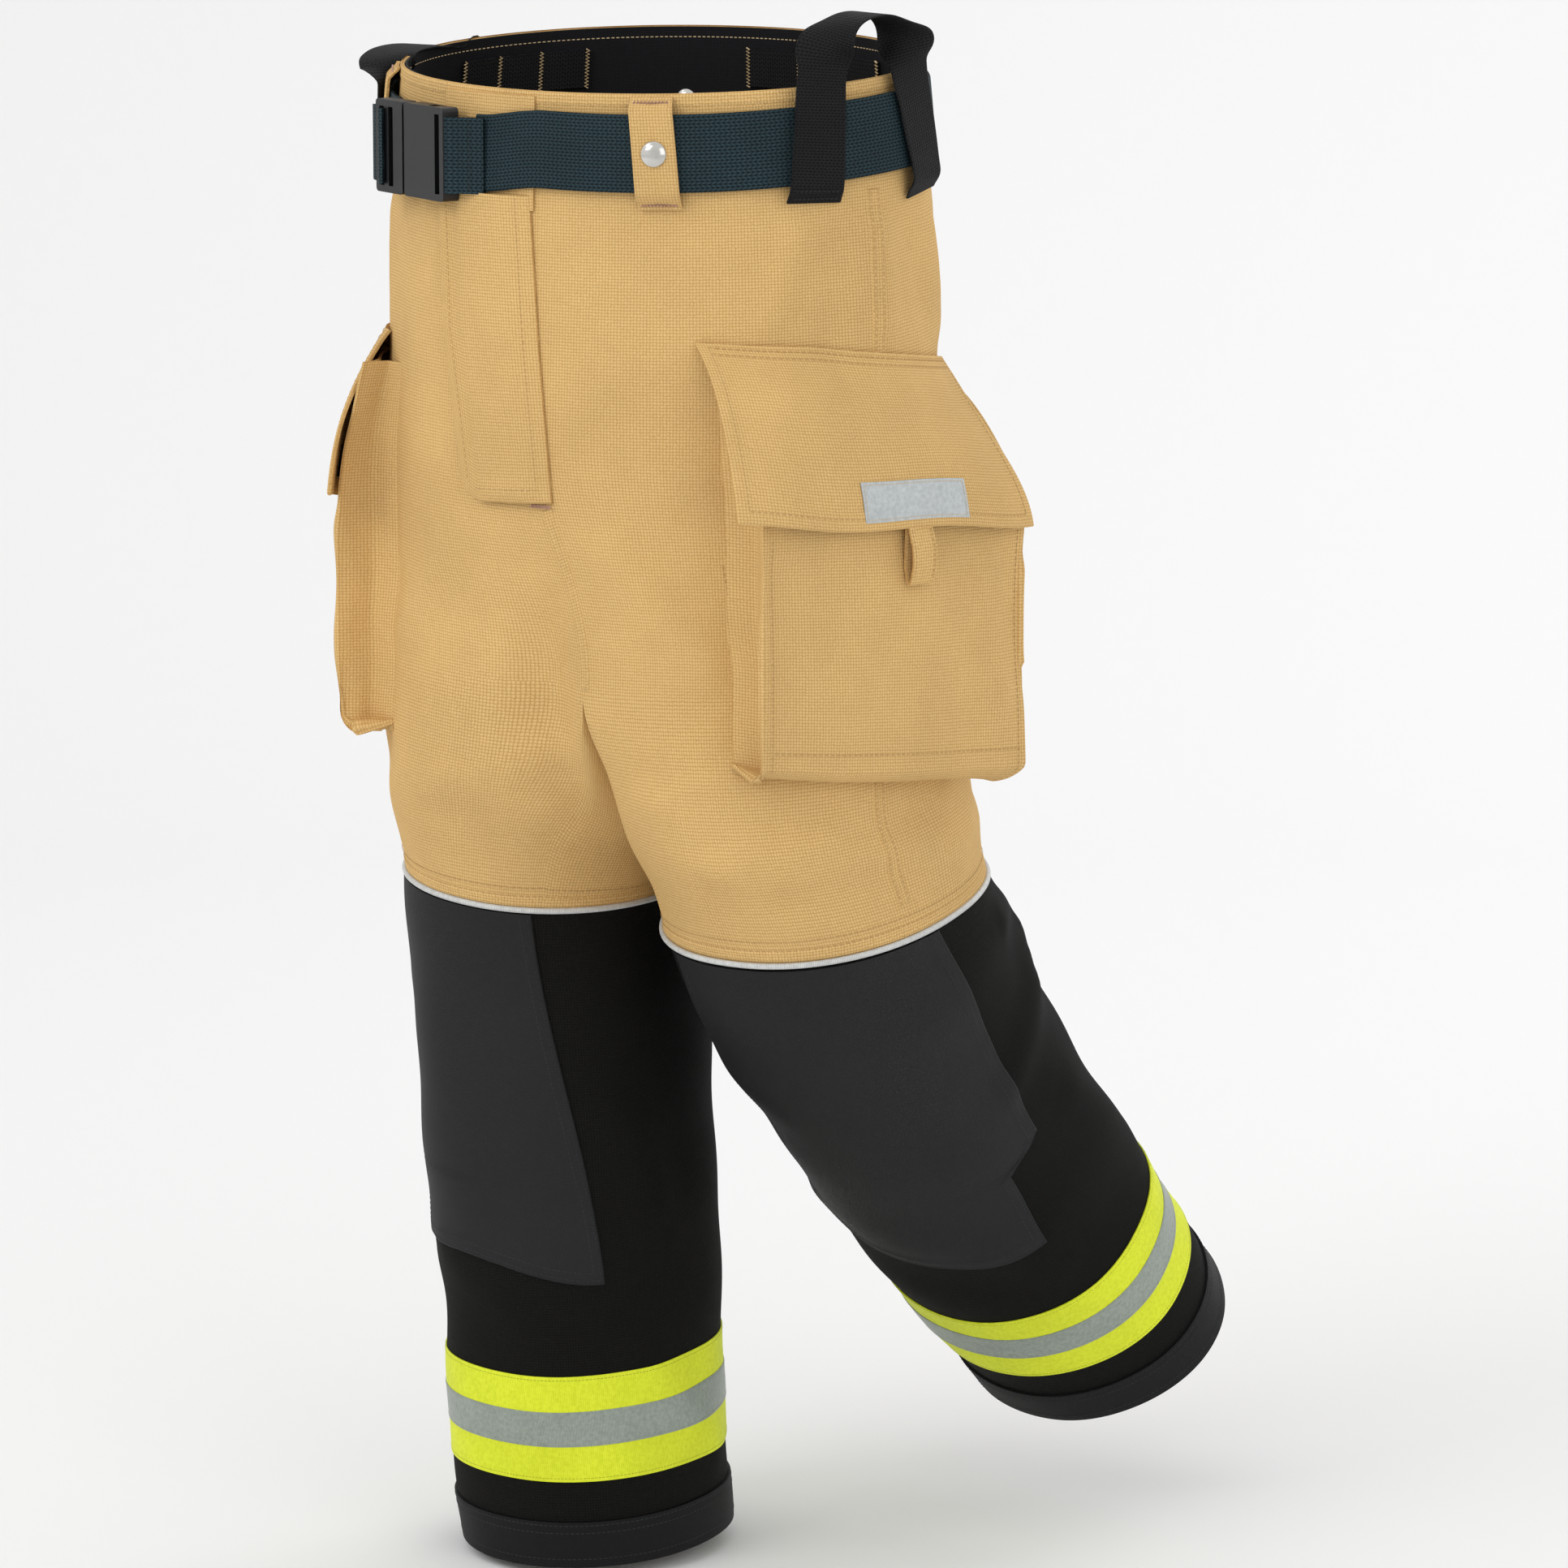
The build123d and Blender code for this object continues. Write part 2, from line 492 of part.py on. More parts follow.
def pocket_prism(bottom, inset):
    corners = [pocket_point(POCKET_FRONT, POCKET_FACE), pocket_point(POCKET_BACK, POCKET_FACE)]
    crown = pocket_point((POCKET_FRONT + POCKET_BACK) / 2, POCKET_FACE + POCKET_CROWN)
    with BuildPart() as prism:
        with BuildSketch(Plane.XY.offset(bottom)):
            with BuildLine():
                Polyline(POCKET_ROOTS[1], POCKET_ROOTS[0], corners[0])
                ThreePointArc(corners[0], crown, corners[1])
                Line(corners[1], POCKET_ROOTS[1])
            make_face()
            if inset:
                offset(amount=-inset, mode=Mode.REPLACE)
        extrude(amount=POCKET_HEIGHT)
    return prism.part


flap_hinge = outward * FLAP_HINGE_OUT + along * (sum(FLAP_SPAN) / 2) + Vector(0, 0, FLAP_HINGE_Z)
lean = radians(FLAP_LEAN)
flap_plane = Plane(flap_hinge, x_dir=along, z_dir=outward * cos(lean) + Vector(0, 0, sin(lean)))
with BuildPart() as pocket:
    add(pocket_prism(POCKET_BOTTOM, 0))
    add(pocket_prism(POCKET_BOTTOM + POCKET_WALL, POCKET_WALL), mode=Mode.SUBTRACT)
    add(trunk_tube(0, POCKET_BOTTOM - THIGH_OVERLAP, None, FIT_GAP), mode=Mode.SUBTRACT)
    add(tube(THIGH_SECTIONS["left"], None, FIT_GAP * 2, (THIGH_OVERLAP, 0)), mode=Mode.SUBTRACT)
    split(bisect_by=flap_plane.offset(-FLAP_CLEAR), keep=Keep.BOTTOM)

flap_width = FLAP_SPAN[1] - FLAP_SPAN[0]
with BuildPart() as flap:
    with BuildSketch(flap_plane):
        with Locations((0, -FLAP_LENGTH / 2)):
            RectangleRounded(flap_width, FLAP_LENGTH, FLAP_CORNER)
    extrude(amount=FLAP_THICK)
with BuildPart() as flap_tape:
    with BuildSketch(flap_plane.offset(-TAPE_THICK - FLAP_TAPE_GAP)):
        with Locations((0, -FLAP_LENGTH + TAPE_WIDTH)):
            Rectangle(flap_width - 2 * FLAP_TAPE_MARGIN, TAPE_WIDTH)
    extrude(amount=TAPE_THICK)
flap_end = flap_plane.from_local_coords(Vector(0, -FLAP_LENGTH, 0))
tab_top = flap_end - Vector(0, 0, PULL_TAB_GAP)
with BuildPart() as pull_tab:
    with BuildSketch(Plane(tab_top, x_dir=along, z_dir=outward)):
        with Locations((PULL_TAB_SHIFT, -PULL_TAB_LENGTH / 2)):
            Rectangle(PULL_TAB_WIDTH, PULL_TAB_LENGTH)
    extrude(amount=FLAP_THICK)
pocket_pieces = {"pocket": pocket, "pocket_flap": flap, "flap_hook_tape": flap_tape, "pull_tab": pull_tab}
for label, piece in pocket_pieces.items():
    save(piece.part, f"{label}_left")
    save(mirrored(piece.part), f"{label}_right")

with BuildPart() as label_patch:
    with BuildSketch(flap_plane.offset(FLAP_THICK)):
        with Locations((0, -FLAP_LENGTH + LABEL_HEIGHT / 2 + LABEL_MARGIN)):
            RectangleRounded(LABEL_WIDTH, LABEL_HEIGHT, LABEL_CORNER)
    extrude(amount=LABEL_THICK)
save(label_patch.part, "label_patch")
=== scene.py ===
import bpy
import numpy as np
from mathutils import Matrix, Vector


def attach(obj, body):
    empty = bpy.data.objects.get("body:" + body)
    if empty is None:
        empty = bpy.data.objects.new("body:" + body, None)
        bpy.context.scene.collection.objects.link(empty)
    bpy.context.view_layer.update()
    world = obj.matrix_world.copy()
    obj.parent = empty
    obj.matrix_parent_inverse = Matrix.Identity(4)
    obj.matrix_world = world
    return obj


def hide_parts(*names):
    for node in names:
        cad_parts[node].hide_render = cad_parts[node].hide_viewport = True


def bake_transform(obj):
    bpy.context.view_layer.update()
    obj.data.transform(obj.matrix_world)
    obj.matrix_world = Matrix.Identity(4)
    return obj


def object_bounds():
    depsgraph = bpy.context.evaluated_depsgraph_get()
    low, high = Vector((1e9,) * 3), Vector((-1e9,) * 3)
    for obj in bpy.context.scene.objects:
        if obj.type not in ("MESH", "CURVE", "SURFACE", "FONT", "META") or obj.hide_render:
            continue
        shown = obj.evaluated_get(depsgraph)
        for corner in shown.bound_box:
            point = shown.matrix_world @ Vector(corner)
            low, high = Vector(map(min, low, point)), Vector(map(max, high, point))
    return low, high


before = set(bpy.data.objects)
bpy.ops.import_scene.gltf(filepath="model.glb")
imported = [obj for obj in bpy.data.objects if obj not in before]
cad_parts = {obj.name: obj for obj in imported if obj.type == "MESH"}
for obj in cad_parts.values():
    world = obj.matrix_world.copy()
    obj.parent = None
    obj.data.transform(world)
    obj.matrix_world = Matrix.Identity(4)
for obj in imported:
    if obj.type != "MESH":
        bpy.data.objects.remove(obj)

cad_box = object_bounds()

# Turnout trousers, in the frame's axes: the wearer faces -Y and the wearer's left is +X.
# Lengths are millimetres up to piece(), which writes metres.
MM = 0.001

# Trunk: an elliptical cone that rounds out over the hips
TRUNK_DROP = 400.0
WAIST_RX, HIP_SWELL, SWELL_HEIGHT = 188.0, 16.5, 140.0
WAIST_RY, HIP_RY = 139.0, 153.0
WAIST_LIFT, WAIST_TILT = 4.0, np.tan(np.radians(4.7))
COLUMNS, TRUNK_ROWS = 200, 100
FORK_SHIFT = 38.0                    # the front seam is pulled towards the bent leg
CROTCH_DEPTH, CROTCH_POINTS = 58.0, 30
THIGH_ROWS, LEG_ROWS, LEG_COLUMNS = 44, 110, 144

# Legs: centre, backward tilt, sideways roll, half width, half depth and squareness of each section
THIGH = {
    1: [((100, 2, -400), 0, 0, 104, 152, 2.3), ((104, 9, -482), 4, 0, 104, 141, 2.3),
        ((113, 30, -562), 11, 0, 101, 120, 2.2)],
    -1: [((-98, 3, -400), 0, 0, 104, 150, 2.2), ((-97, 7, -480), 1, 3, 98, 133, 2.2),
         ((-97, 12, -557), 3, 6, 94, 114, 2.1)],
}
LEG = {
    1: [
        ((113, 30, -562), 11, 0, 101, 120, 2.2), ((113, 66, -612), 27, 0, 105, 112, 2.2),
        ((122, 108, -668), 38, 0, 98, 106, 2.2), ((129, 207, -783), 40, 0, 98, 98, 2.2),
        ((148, 342, -919), 36, 0, 94, 90, 2.1),
    ],
    -1: [
        ((-97, 12, -557), 3, 6, 94, 114, 2.1), ((-93, 18, -690), 3, 3, 94, 107, 2.2),
        ((-88, 27, -850), 3, 0, 92, 101, 2.2), ((-82, 36, -1031), 3, 0, 88.5, 98, 2.1),
    ],
}
SIDES = {1: "left", -1: "right"}
SHELL = 2.0
FRONT_TURN, BACK_TURN = -34.0, 214.0  # the thigh ring's angles at the front and back centre seams
SIDE_SEAM, BACK_SEAM, INSEAM = 77.0, 180.0, 262.0


# ---------------------------------------------------------------- numbers and surfaces
def smooth(t):
    t = np.clip(t, 0, 1)
    return t * t * (3 - 2 * t)


def unit(v):
    return v / np.maximum(np.linalg.norm(v, axis=-1, keepdims=True), 1e-9)


def spline(knots, values, at):
    """Smooth curve through values at knots."""
    slope = np.gradient(values, knots, axis=0)
    k = np.clip(np.searchsorted(knots, at) - 1, 0, len(knots) - 2)
    h = (knots[k + 1] - knots[k])[:, None]
    t = (at - knots[k])[:, None] / h
    start, end = (2 * t**3 - 3 * t**2 + 1) * values[k], (3 * t**2 - 2 * t**3) * values[k + 1]
    return start + end + (t**3 - 2 * t**2 + t) * h * slope[k] + (t**3 - t**2) * h * slope[k + 1]


def lengths(points, axis):
    """Running length along one axis of a grid, averaged over the other."""
    step = np.linalg.norm(np.diff(points, axis=axis), axis=2).mean(axis=1 - axis)
    return np.concatenate([[0], np.cumsum(step)])


class Skin:
    """A grid of points on a cloth surface: rows run down, columns run round."""

    def __init__(self, points, closed, side=1):
        self.points, self.closed, self.side = points, closed, side
        self.refresh()

    def refresh(self):
        p = self.points
        if self.closed:
            p = np.concatenate([p[:, -1:], p, p[:, :1]], axis=1)
        across, down = np.gradient(p, axis=1), np.gradient(p, axis=0)
        normal = unit(np.cross(down, across)) * self.side
        self.normals = normal[:, 1:-1] if self.closed else normal
        wrapped = np.concatenate([self.points, self.points[:, :1]], axis=1) if self.closed else self.points
        self.u, self.v = lengths(wrapped, 1), lengths(self.points, 0)

    def pick(self, grid, row, column):
        rows, columns = grid.shape[:2]
        row = np.clip(row, 0, rows - 1.0001)
        column = np.mod(column, columns) if self.closed else np.clip(column, 0, columns - 1.0001)
        r, c = np.floor(row).astype(int), np.floor(column).astype(int)
        fr, fc = (row - r)[..., None], (column - c)[..., None]
        after = (c + 1) % columns
        top = grid[r, c] * (1 - fc) + grid[r, after] * fc
        return top * (1 - fr) + (grid[r + 1, c] * (1 - fc) + grid[r + 1, after] * fc) * fr

    def at(self, row, column, lift=0.0):
        """Points on the surface, lifted along its normal, and the normals there."""
        row, column, lift = np.broadcast_arrays(np.asarray(row, float), column, lift)
        normal = unit(self.pick(self.normals, row, column))
        return self.pick(self.points, row, column) + normal * lift[..., None], normal


def ring(section, angles):
    """Points of one leg section; angle 0 is its front and 90 its left side."""
    x, y, z, tilt, roll, rx, ry, power = section
    s, c = np.sin(np.radians(angles)), np.cos(np.radians(angles))
    px, py = rx * np.sign(s) * np.abs(s) ** (2 / power), -ry * np.sign(c) * np.abs(c) ** (2 / power)
    tilt, roll = np.radians(tilt), np.radians(roll)
    qx, qz = px * np.cos(roll), -px * np.sin(roll)
    return np.stack([x + qx, y + py * np.cos(tilt) - qz * np.sin(tilt),
                     z + py * np.sin(tilt) + qz * np.cos(tilt)], -1)


def sections_along(sections, rows):
    table = np.array([(*s[0], *s[1:]) for s in sections], float)
    along = np.concatenate([[0], np.cumsum(np.linalg.norm(np.diff(table[:, :3], axis=0), axis=1))])
    return spline(along, table, np.linspace(0, along[-1], rows))


def trunk_point(angle, z):
    rx = WAIST_RX + HIP_SWELL * (1 - np.exp(z / SWELL_HEIGHT))
    ry = WAIST_RY - (HIP_RY - WAIST_RY) * z / TRUNK_DROP
    return np.stack([rx * np.sin(np.radians(angle)), -ry * np.cos(np.radians(angle)), z + 0 * angle], -1)


def waist_height(angle):
    return WAIST_LIFT - WAIST_RY * np.cos(np.radians(angle)) * WAIST_TILT


def pull_fork(p):
    """Moves the front of the fork towards the bent leg, and sinks the crease between the thighs."""
    x, y, z = p[..., 0], p[..., 1], p[..., 2]
    reach = smooth((-z - 240) / 150) * smooth((z + 575) / 130) * smooth(-y / 70)
    p[..., 0] += FORK_SHIFT * reach * np.exp(-(x / 95) ** 2)
    crease = smooth((-z - 285) / 130) * np.exp(-((x - 2) / 26) ** 2)
    p[..., 1] += np.where(y < 0, 1, -0.6) * 20 * crease * smooth(np.abs(y) / 60)


def wrinkle(p, normals, height, size, seed):
    """Soft unevenness: a few crossing waves."""
    random = np.random.default_rng(seed)
    total = 0
    for _ in range(7):
        wave = unit(random.normal(size=3)) * 2 * np.pi / (size * random.uniform(0.6, 1.7))
        total = total + np.sin(p @ wave + random.uniform(0, 6.28))
    p += normals * (total * height / 2.6)[..., None]


def fold(skin, start, end, height, width, lean=0.35):
    """One directed fold: a ridge from start to end with a shallower valley beside it."""
    a, b = (np.asarray(x, float) for x in (start, end))
    p = skin.points
    t = np.clip(((p - a) @ (b - a)) / ((b - a) @ (b - a)), 0, 1)
    away = p - (a + t[..., None] * (b - a))
    beside = unit(np.cross(skin.normals, b - a))
    side = np.clip((away * beside).sum(-1) / width, -3, 3)
    d = np.linalg.norm(away, axis=-1) / width
    shape = np.exp(-d * d) - lean * np.exp(-((side - 1.5) ** 2) - np.maximum(d - np.abs(side), 0) ** 2)
    skin.points = p + skin.normals * (height * shape * smooth(t * 4 + 0.35)
                                      * smooth((1 - t) * 4 + 0.35))[..., None]


# ---------------------------------------------------------------- mesh building
def grid_quads(rows, columns, closed, flip):
    r, c = np.meshgrid(np.arange(rows - 1), np.arange(columns if closed else columns - 1), indexing="ij")
    n = (c + 1) % columns
    quads = np.stack([r * columns + c, (r + 1) * columns + c, (r + 1) * columns + n, r * columns + n], -1)
    corners = np.stack([np.stack([r, c], -1), np.stack([r + 1, c], -1), np.stack([r + 1, c + 1], -1),
                        np.stack([r, c + 1], -1)], -2)
    quads, corners = quads.reshape(-1, 4), corners.reshape(-1, 4, 2)
    return (quads[:, ::-1], corners[:, ::-1]) if flip else (quads, corners)


def surface(points, u, v, material=0, closed=False, flip=False):
    """Part made of one grid. u and v are running lengths, or whole grids of them."""
    rows, columns = points.shape[:2]
    quads, corners = grid_quads(rows, columns, closed, flip)
    if np.ndim(u) == 1:
        u, v = np.broadcast_to(u, (rows, len(u))), np.broadcast_to(np.asarray(v)[:, None], (rows, len(u)))
    uv = np.stack([u[corners[..., 0], corners[..., 1]], v[corners[..., 0], corners[..., 1]]], -1)
    return points.reshape(-1, 3), quads, uv, np.full(len(quads), material)


def slab(outer, inner, u, v, material=0, closed=False, flip=False):
    """Part with two faces and a rim: outer and inner are grids of the same size."""
    rows, columns = outer.shape[:2]
    layers = np.stack([outer, inner])
    top = surface(outer, u, v, material, closed, flip)
    bottom = surface(inner, u, v, material, closed, not flip)
    index = np.arange(rows * columns).reshape(rows, columns)
    edges = [index[0], index[-1][::-1]]
    if closed:
        edges = [np.append(e, e[0]) for e in edges]
    else:
        edges += [index[::-1, 0], index[:, -1]]
    rims, uvs = [], []
    for edge in edges:
        a, b = edge[:-1], edge[1:]
        quad = np.stack([a, b, b + rows * columns, a + rows * columns], -1)
        rims.append(quad[:, ::-1] if flip else quad)
        run = np.linalg.norm(outer.reshape(-1, 3)[b] - outer.reshape(-1, 3)[a], axis=1).cumsum()
        uvs.append(np.stack([np.stack([run, run * 0], -1)] * 4, -2))
    quads = np.concatenate([top[1], bottom[1] + rows * columns, *rims])
    uv = np.concatenate([top[2], bottom[2], *uvs])
    return layers.reshape(-1, 3), quads, uv, np.full(len(quads), material)


def piece(name, parts, materials, smooth_angle=40.0):
    """Blender object in metres from parts in millimetres."""
    counts = np.cumsum([0] + [len(p[0]) for p in parts])
    points = np.concatenate([p[0] for p in parts]) * MM
    quads = np.concatenate([p[1] + n for p, n in zip(parts, counts)])
    uv = np.concatenate([p[2] for p in parts]) * MM
    mesh = bpy.data.meshes.new(name)
    mesh.vertices.add(len(points))
    mesh.vertices.foreach_set("co", points.astype(np.float32).ravel())
    mesh.loops.add(quads.size)
    mesh.loops.foreach_set("vertex_index", quads.astype(np.int32).ravel())
    mesh.polygons.add(len(quads))
    mesh.polygons.foreach_set("loop_start", np.arange(0, quads.size, 4, dtype=np.int32))
    mesh.polygons.foreach_set("material_index", np.concatenate([p[3] for p in parts]).astype(np.int32))
    mesh.update(calc_edges=True)
    mesh.uv_layers.new(name="UVMap").data.foreach_set("uv", uv.astype(np.float32).ravel())
    for m in materials:
        mesh.materials.append(m)
    mesh.polygons.foreach_set("use_smooth", np.ones(len(quads), bool))
    mesh.set_sharp_from_angle(angle=np.radians(smooth_angle))
    made = bpy.data.objects.new(name, mesh)
    bpy.context.scene.collection.objects.link(made)
    return made


def settle(obj):
    """Applies an object's modifiers."""
    evaluated = obj.evaluated_get(bpy.context.evaluated_depsgraph_get())
    mesh = bpy.data.meshes.new_from_object(evaluated)
    obj.modifiers.clear()
    obj.data = mesh
    return obj


def resample(points, normals, pitch):
    run = np.concatenate([[0], np.cumsum(np.linalg.norm(np.diff(points, axis=0), axis=1))])
    count = max(2, int(run[-1] / pitch))
    at = (np.arange(count) + 0.5) * run[-1] / count

    def pick(grid):
        return np.stack([np.interp(at, run, grid[:, k]) for k in range(3)], -1)

    tangent = unit(pick(np.gradient(points, axis=0)))
    return pick(points), unit(pick(normals)), tangent


def stitches(points, normals, pitch=4.4, length=3.2, width=0.9, height=0.55, material=0):
    """Row of threads lying along a path, each a small grain that dips in at both ends."""
    at, up, along = resample(points, normals, pitch)
    side = np.cross(up, along)
    rings = []
    for step, size in ((-0.5, 0.35), (-0.25, 0.9), (0.25, 0.9), (0.5, 0.35)):
        centre = at + along * step * length + up * (size * height * 0.35)
        for i, j in ((-1, 0), (0, 1), (1, 0), (0, -1)):
            rings.append(centre + side * i * width / 2 * size + up * j * height / 2 * size)
    grid = np.stack(rings, 1)
    one = [[k * 4 + i, k * 4 + (i + 1) % 4, (k + 1) * 4 + (i + 1) % 4, (k + 1) * 4 + i] for k in range(3)
           for i in range(4)]
    one = np.array(one + [[3, 2, 1, 0], [12, 13, 14, 15]])
    quads = (one[None] + 16 * np.arange(len(at))[:, None, None]).reshape(-1, 4)
    return grid.reshape(-1, 3), quads, np.zeros((len(quads), 4, 2)), np.full(len(quads), material)


def welt(points, normals, width, height, material=0, sink=0.4):
    """Low raised strip along a path, such as a felled seam."""
    along = unit(np.gradient(points, axis=0))
    side = np.cross(normals, along)
    profile = ((-0.5, -sink), (-0.38, height * 0.8), (-0.2, height), (0, height * 0.72), (0.2, height),
               (0.38, height * 0.8), (0.5, -sink))
    grid = np.stack([points + side * a * width + normals * b for a, b in profile], 1)
    run = np.concatenate([[0], np.cumsum(np.linalg.norm(np.diff(points, axis=0), axis=1))])
    return surface(grid, np.array([a * width for a, _ in profile]), run, material, flip=True)


def bartack(centre, normal, along, length=16.0, width=2.4, material=0):
    """Dense zigzag of thread across a strap's end."""
    side = np.cross(normal, along)
    count = int(length / 1.1)
    zigzag = [centre + along * (k / (count - 1) - 0.5) * length + side * (k % 2 - 0.5) * width
              for k in range(count)]
    path = np.array(zigzag)
    return welt(path, np.broadcast_to(normal, path.shape).copy(), 1.0, 0.7, material)


def dome(centre, normal, profile, material=0, turns=28):
    """Turned piece: profile lists radius and height from the rim to the middle."""
    across = unit(np.cross(normal, (0.02, 0.01, 1.0)))
    up = np.cross(across, normal)
    angle = np.linspace(0, 2 * np.pi, turns, endpoint=False)
    rim = np.cos(angle)[:, None] * across + np.sin(angle)[:, None] * up
    grid = np.stack([centre + rim * r + normal * h for r, h in profile])
    return surface(grid, np.arange(turns + 1.0), np.arange(len(profile) * 1.0), material, closed=True)


def edge_spaced(length, step, near=(0, 0.5, 1.2, 2.2, 3.4, 5, 6.6, 8.2, 10)):
    """Positions along a width, closer together at both ends, for hems and stitch grooves."""
    near = np.array(near)
    count = max(2, int((length - 2 * near[-1]) / step))
    middle = np.linspace(near[-1], length - near[-1], count + 1)[1:-1]
    return np.concatenate([near, middle, (length - near)[::-1]])


def hem_height(d, height=0.9, grooves=(3.0, 8.5)):
    """Rise of a turned and stitched edge at a distance from the edge."""
    rise = height * (1 - smooth((d - 9.0) / 3.0)) - 1.1 * np.exp(-(d / 0.6) ** 2)
    for g in grooves:
        rise = rise - 0.45 * np.exp(-((d - g) / 0.9) ** 2)
    return rise


# ---------------------------------------------------------------- materials
class Nodes:
    """Short way to write a material's node tree."""

    def __init__(self, name, roughness, metallic=0.0, sheen=0.0):
        self.material = bpy.data.materials.new(name)
        self.material.use_nodes = True
        self.tree = self.material.node_tree
        self.shader = self.tree.nodes["Principled BSDF"]
        self.shader.inputs["Roughness"].default_value = roughness
        self.shader.inputs["Metallic"].default_value = metallic
        self.shader.inputs["Sheen Weight"].default_value = sheen
        self.shader.inputs["Sheen Roughness"].default_value = 0.6
        if metallic == 0 and roughness > 0.5:
            self.shader.inputs["Specular IOR Level"].default_value = 0.15

    def new(self, kind, **values):
        node = self.tree.nodes.new(kind)
        for key, value in values.items():
            setattr(node, key, value)
        return node

    def link(self, output, node, socket):
        self.tree.links.new(output, node.inputs[socket])

    def math(self, operation, a, b=None):
        node = self.new("ShaderNodeMath", operation=operation)
        for socket, value in enumerate((a, b)):
            if isinstance(value, (int, float)):
                node.inputs[socket].default_value = value
            elif value is not None:
                self.link(value, node, socket)
        return node.outputs[0]

    def uv(self):
        node = self.new("ShaderNodeSeparateXYZ")
        self.link(self.new("ShaderNodeUVMap", uv_map="UVMap").outputs[0], node, 0)
        return node.outputs[0], node.outputs[1]

    def noise(self, scale, detail=3.0, stretch=None, roughness=0.6):
        node = self.new("ShaderNodeTexNoise")
        node.inputs["Scale"].default_value = scale
        node.inputs["Detail"].default_value = detail
        node.inputs["Roughness"].default_value = roughness
        if stretch:
            mapping = self.new("ShaderNodeMapping")
            mapping.inputs["Scale"].default_value = (*stretch, 1)
            self.link(self.new("ShaderNodeUVMap", uv_map="UVMap").outputs[0], mapping, "Vector")
            self.link(mapping.outputs[0], node, "Vector")
        else:
            self.link(self.new("ShaderNodeTexCoord").outputs["Object"], node, "Vector")
        return node.outputs["Fac"]

    def ramp(self, factor, stops):
        node = self.new("ShaderNodeValToRGB")
        for k, (place, colour) in enumerate(stops):
            stop = node.color_ramp.elements[k] if k < 2 else node.color_ramp.elements.new(place)
            stop.position = place
            stop.color = linear(colour)
        self.link(factor, node, 0)
        return node.outputs[0]

    def tint(self, colour, factor, low, high):
        """Multiplies a colour by a grey that runs from low to high with the factor."""
        grey = self.ramp(factor, ((0.3, (low,) * 3), (0.7, (high,) * 3)))
        node = self.new("ShaderNodeMix", data_type="RGBA", blend_type="MULTIPLY")
        node.inputs["Factor"].default_value = 1.0
        self.link(colour, node, "A")
        self.link(grey, node, "B")
        return node.outputs["Result"]

    def finish(self, colour, height=None, distance=0.0004, strength=0.6):
        self.link(colour, self.shader, "Base Color")
        if height is not None:
            bump = self.new("ShaderNodeBump")
            bump.inputs["Strength"].default_value = strength
            bump.inputs["Distance"].default_value = distance
            self.link(height, bump, "Height")
            self.link(bump.outputs[0], self.shader, "Normal")
        return self.material


def linear(colour):
    """Display colour from 0 to 255, or grey multiplier up to 1, as linear RGBA."""
    scale = 255.0 if max(colour) > 1.5 else 1.0
    return (*[(c / scale) ** 2.2 for c in colour], 1.0)


def woven(name, gap, thread, bright, pitch, roughness=0.85, sheen=0.0, wobble=0.35, depth=0.00035,
          mottle=(0.93, 1.0)):
    """Plain weave: rounded crossings in rows and columns, uneven threads, slubs and soft mottling."""
    n = Nodes(name, roughness, sheen=sheen)
    u, v = n.uv()
    slub_u = n.noise(1.0, 2.0, (90, 700))
    slub_v = n.noise(1.0, 2.0, (700, 90))
    shift = n.math("MULTIPLY", n.math("SUBTRACT", n.noise(420, 2.0), 0.5), wobble * pitch * MM * 2)
    wave = []
    for x in (u, v):
        turn = n.math("MULTIPLY", n.math("ADD", x, shift), np.pi / (pitch * MM))
        wave.append(n.math("ABSOLUTE", n.math("SINE", turn)))
    dots = n.math("POWER", n.math("MULTIPLY", wave[0], wave[1]), 0.7)
    uneven = n.math("MULTIPLY", n.math("ADD", slub_u, slub_v), 0.55)
    level = n.math("MULTIPLY", dots, n.math("ADD", uneven, 0.45))
    colour = n.ramp(level, ((0.0, gap), (0.45, thread), (0.95, bright)))
    colour = n.tint(colour, n.noise(9.0, 4.0), *mottle)
    return n.finish(colour, level, depth, 0.8)


def webbing(name, dark, light, pitch=1.7, roughness=0.7, along="v", depth=0.0005):
    """Narrow woven band: chevron ribs across its width."""
    n = Nodes(name, roughness)
    u, v = n.uv()
    run, across = (u, v) if along == "u" else (v, u)
    rib = n.math("ABSOLUTE", n.math("SINE", n.math("MULTIPLY", across, np.pi / (pitch * MM))))
    zig = n.math("PINGPONG", across, pitch * MM)
    weft = n.math("SINE", n.math("MULTIPLY", n.math("ADD", run, zig), 2 * np.pi / (pitch * 1.5 * MM)))
    level = n.math("ADD", n.math("MULTIPLY", rib, 0.6), n.math("MULTIPLY", weft, 0.22))
    level = n.math("ADD", level, n.math("MULTIPLY", n.noise(500, 2.0), 0.25))
    colour = n.tint(n.ramp(level, ((0.15, dark), (0.85, light))), n.noise(30, 3.0), 0.9, 1.0)
    return n.finish(colour, level, depth, 0.8)


def grained(name, dark, light, roughness, metallic=0.0, scale=600, depth=0.00008, sheen=0.0, stretch=None):
    """Plastic, metal or thread: fine grain and small scuffs."""
    n = Nodes(name, roughness, metallic, sheen)
    grain = n.noise(scale, 3.0, stretch)
    colour = n.tint(n.ramp(grain, ((0.3, dark), (0.7, light))), n.noise(25, 5.0), 0.93, 1.0)
    return n.finish(colour, grain, depth, 0.5)


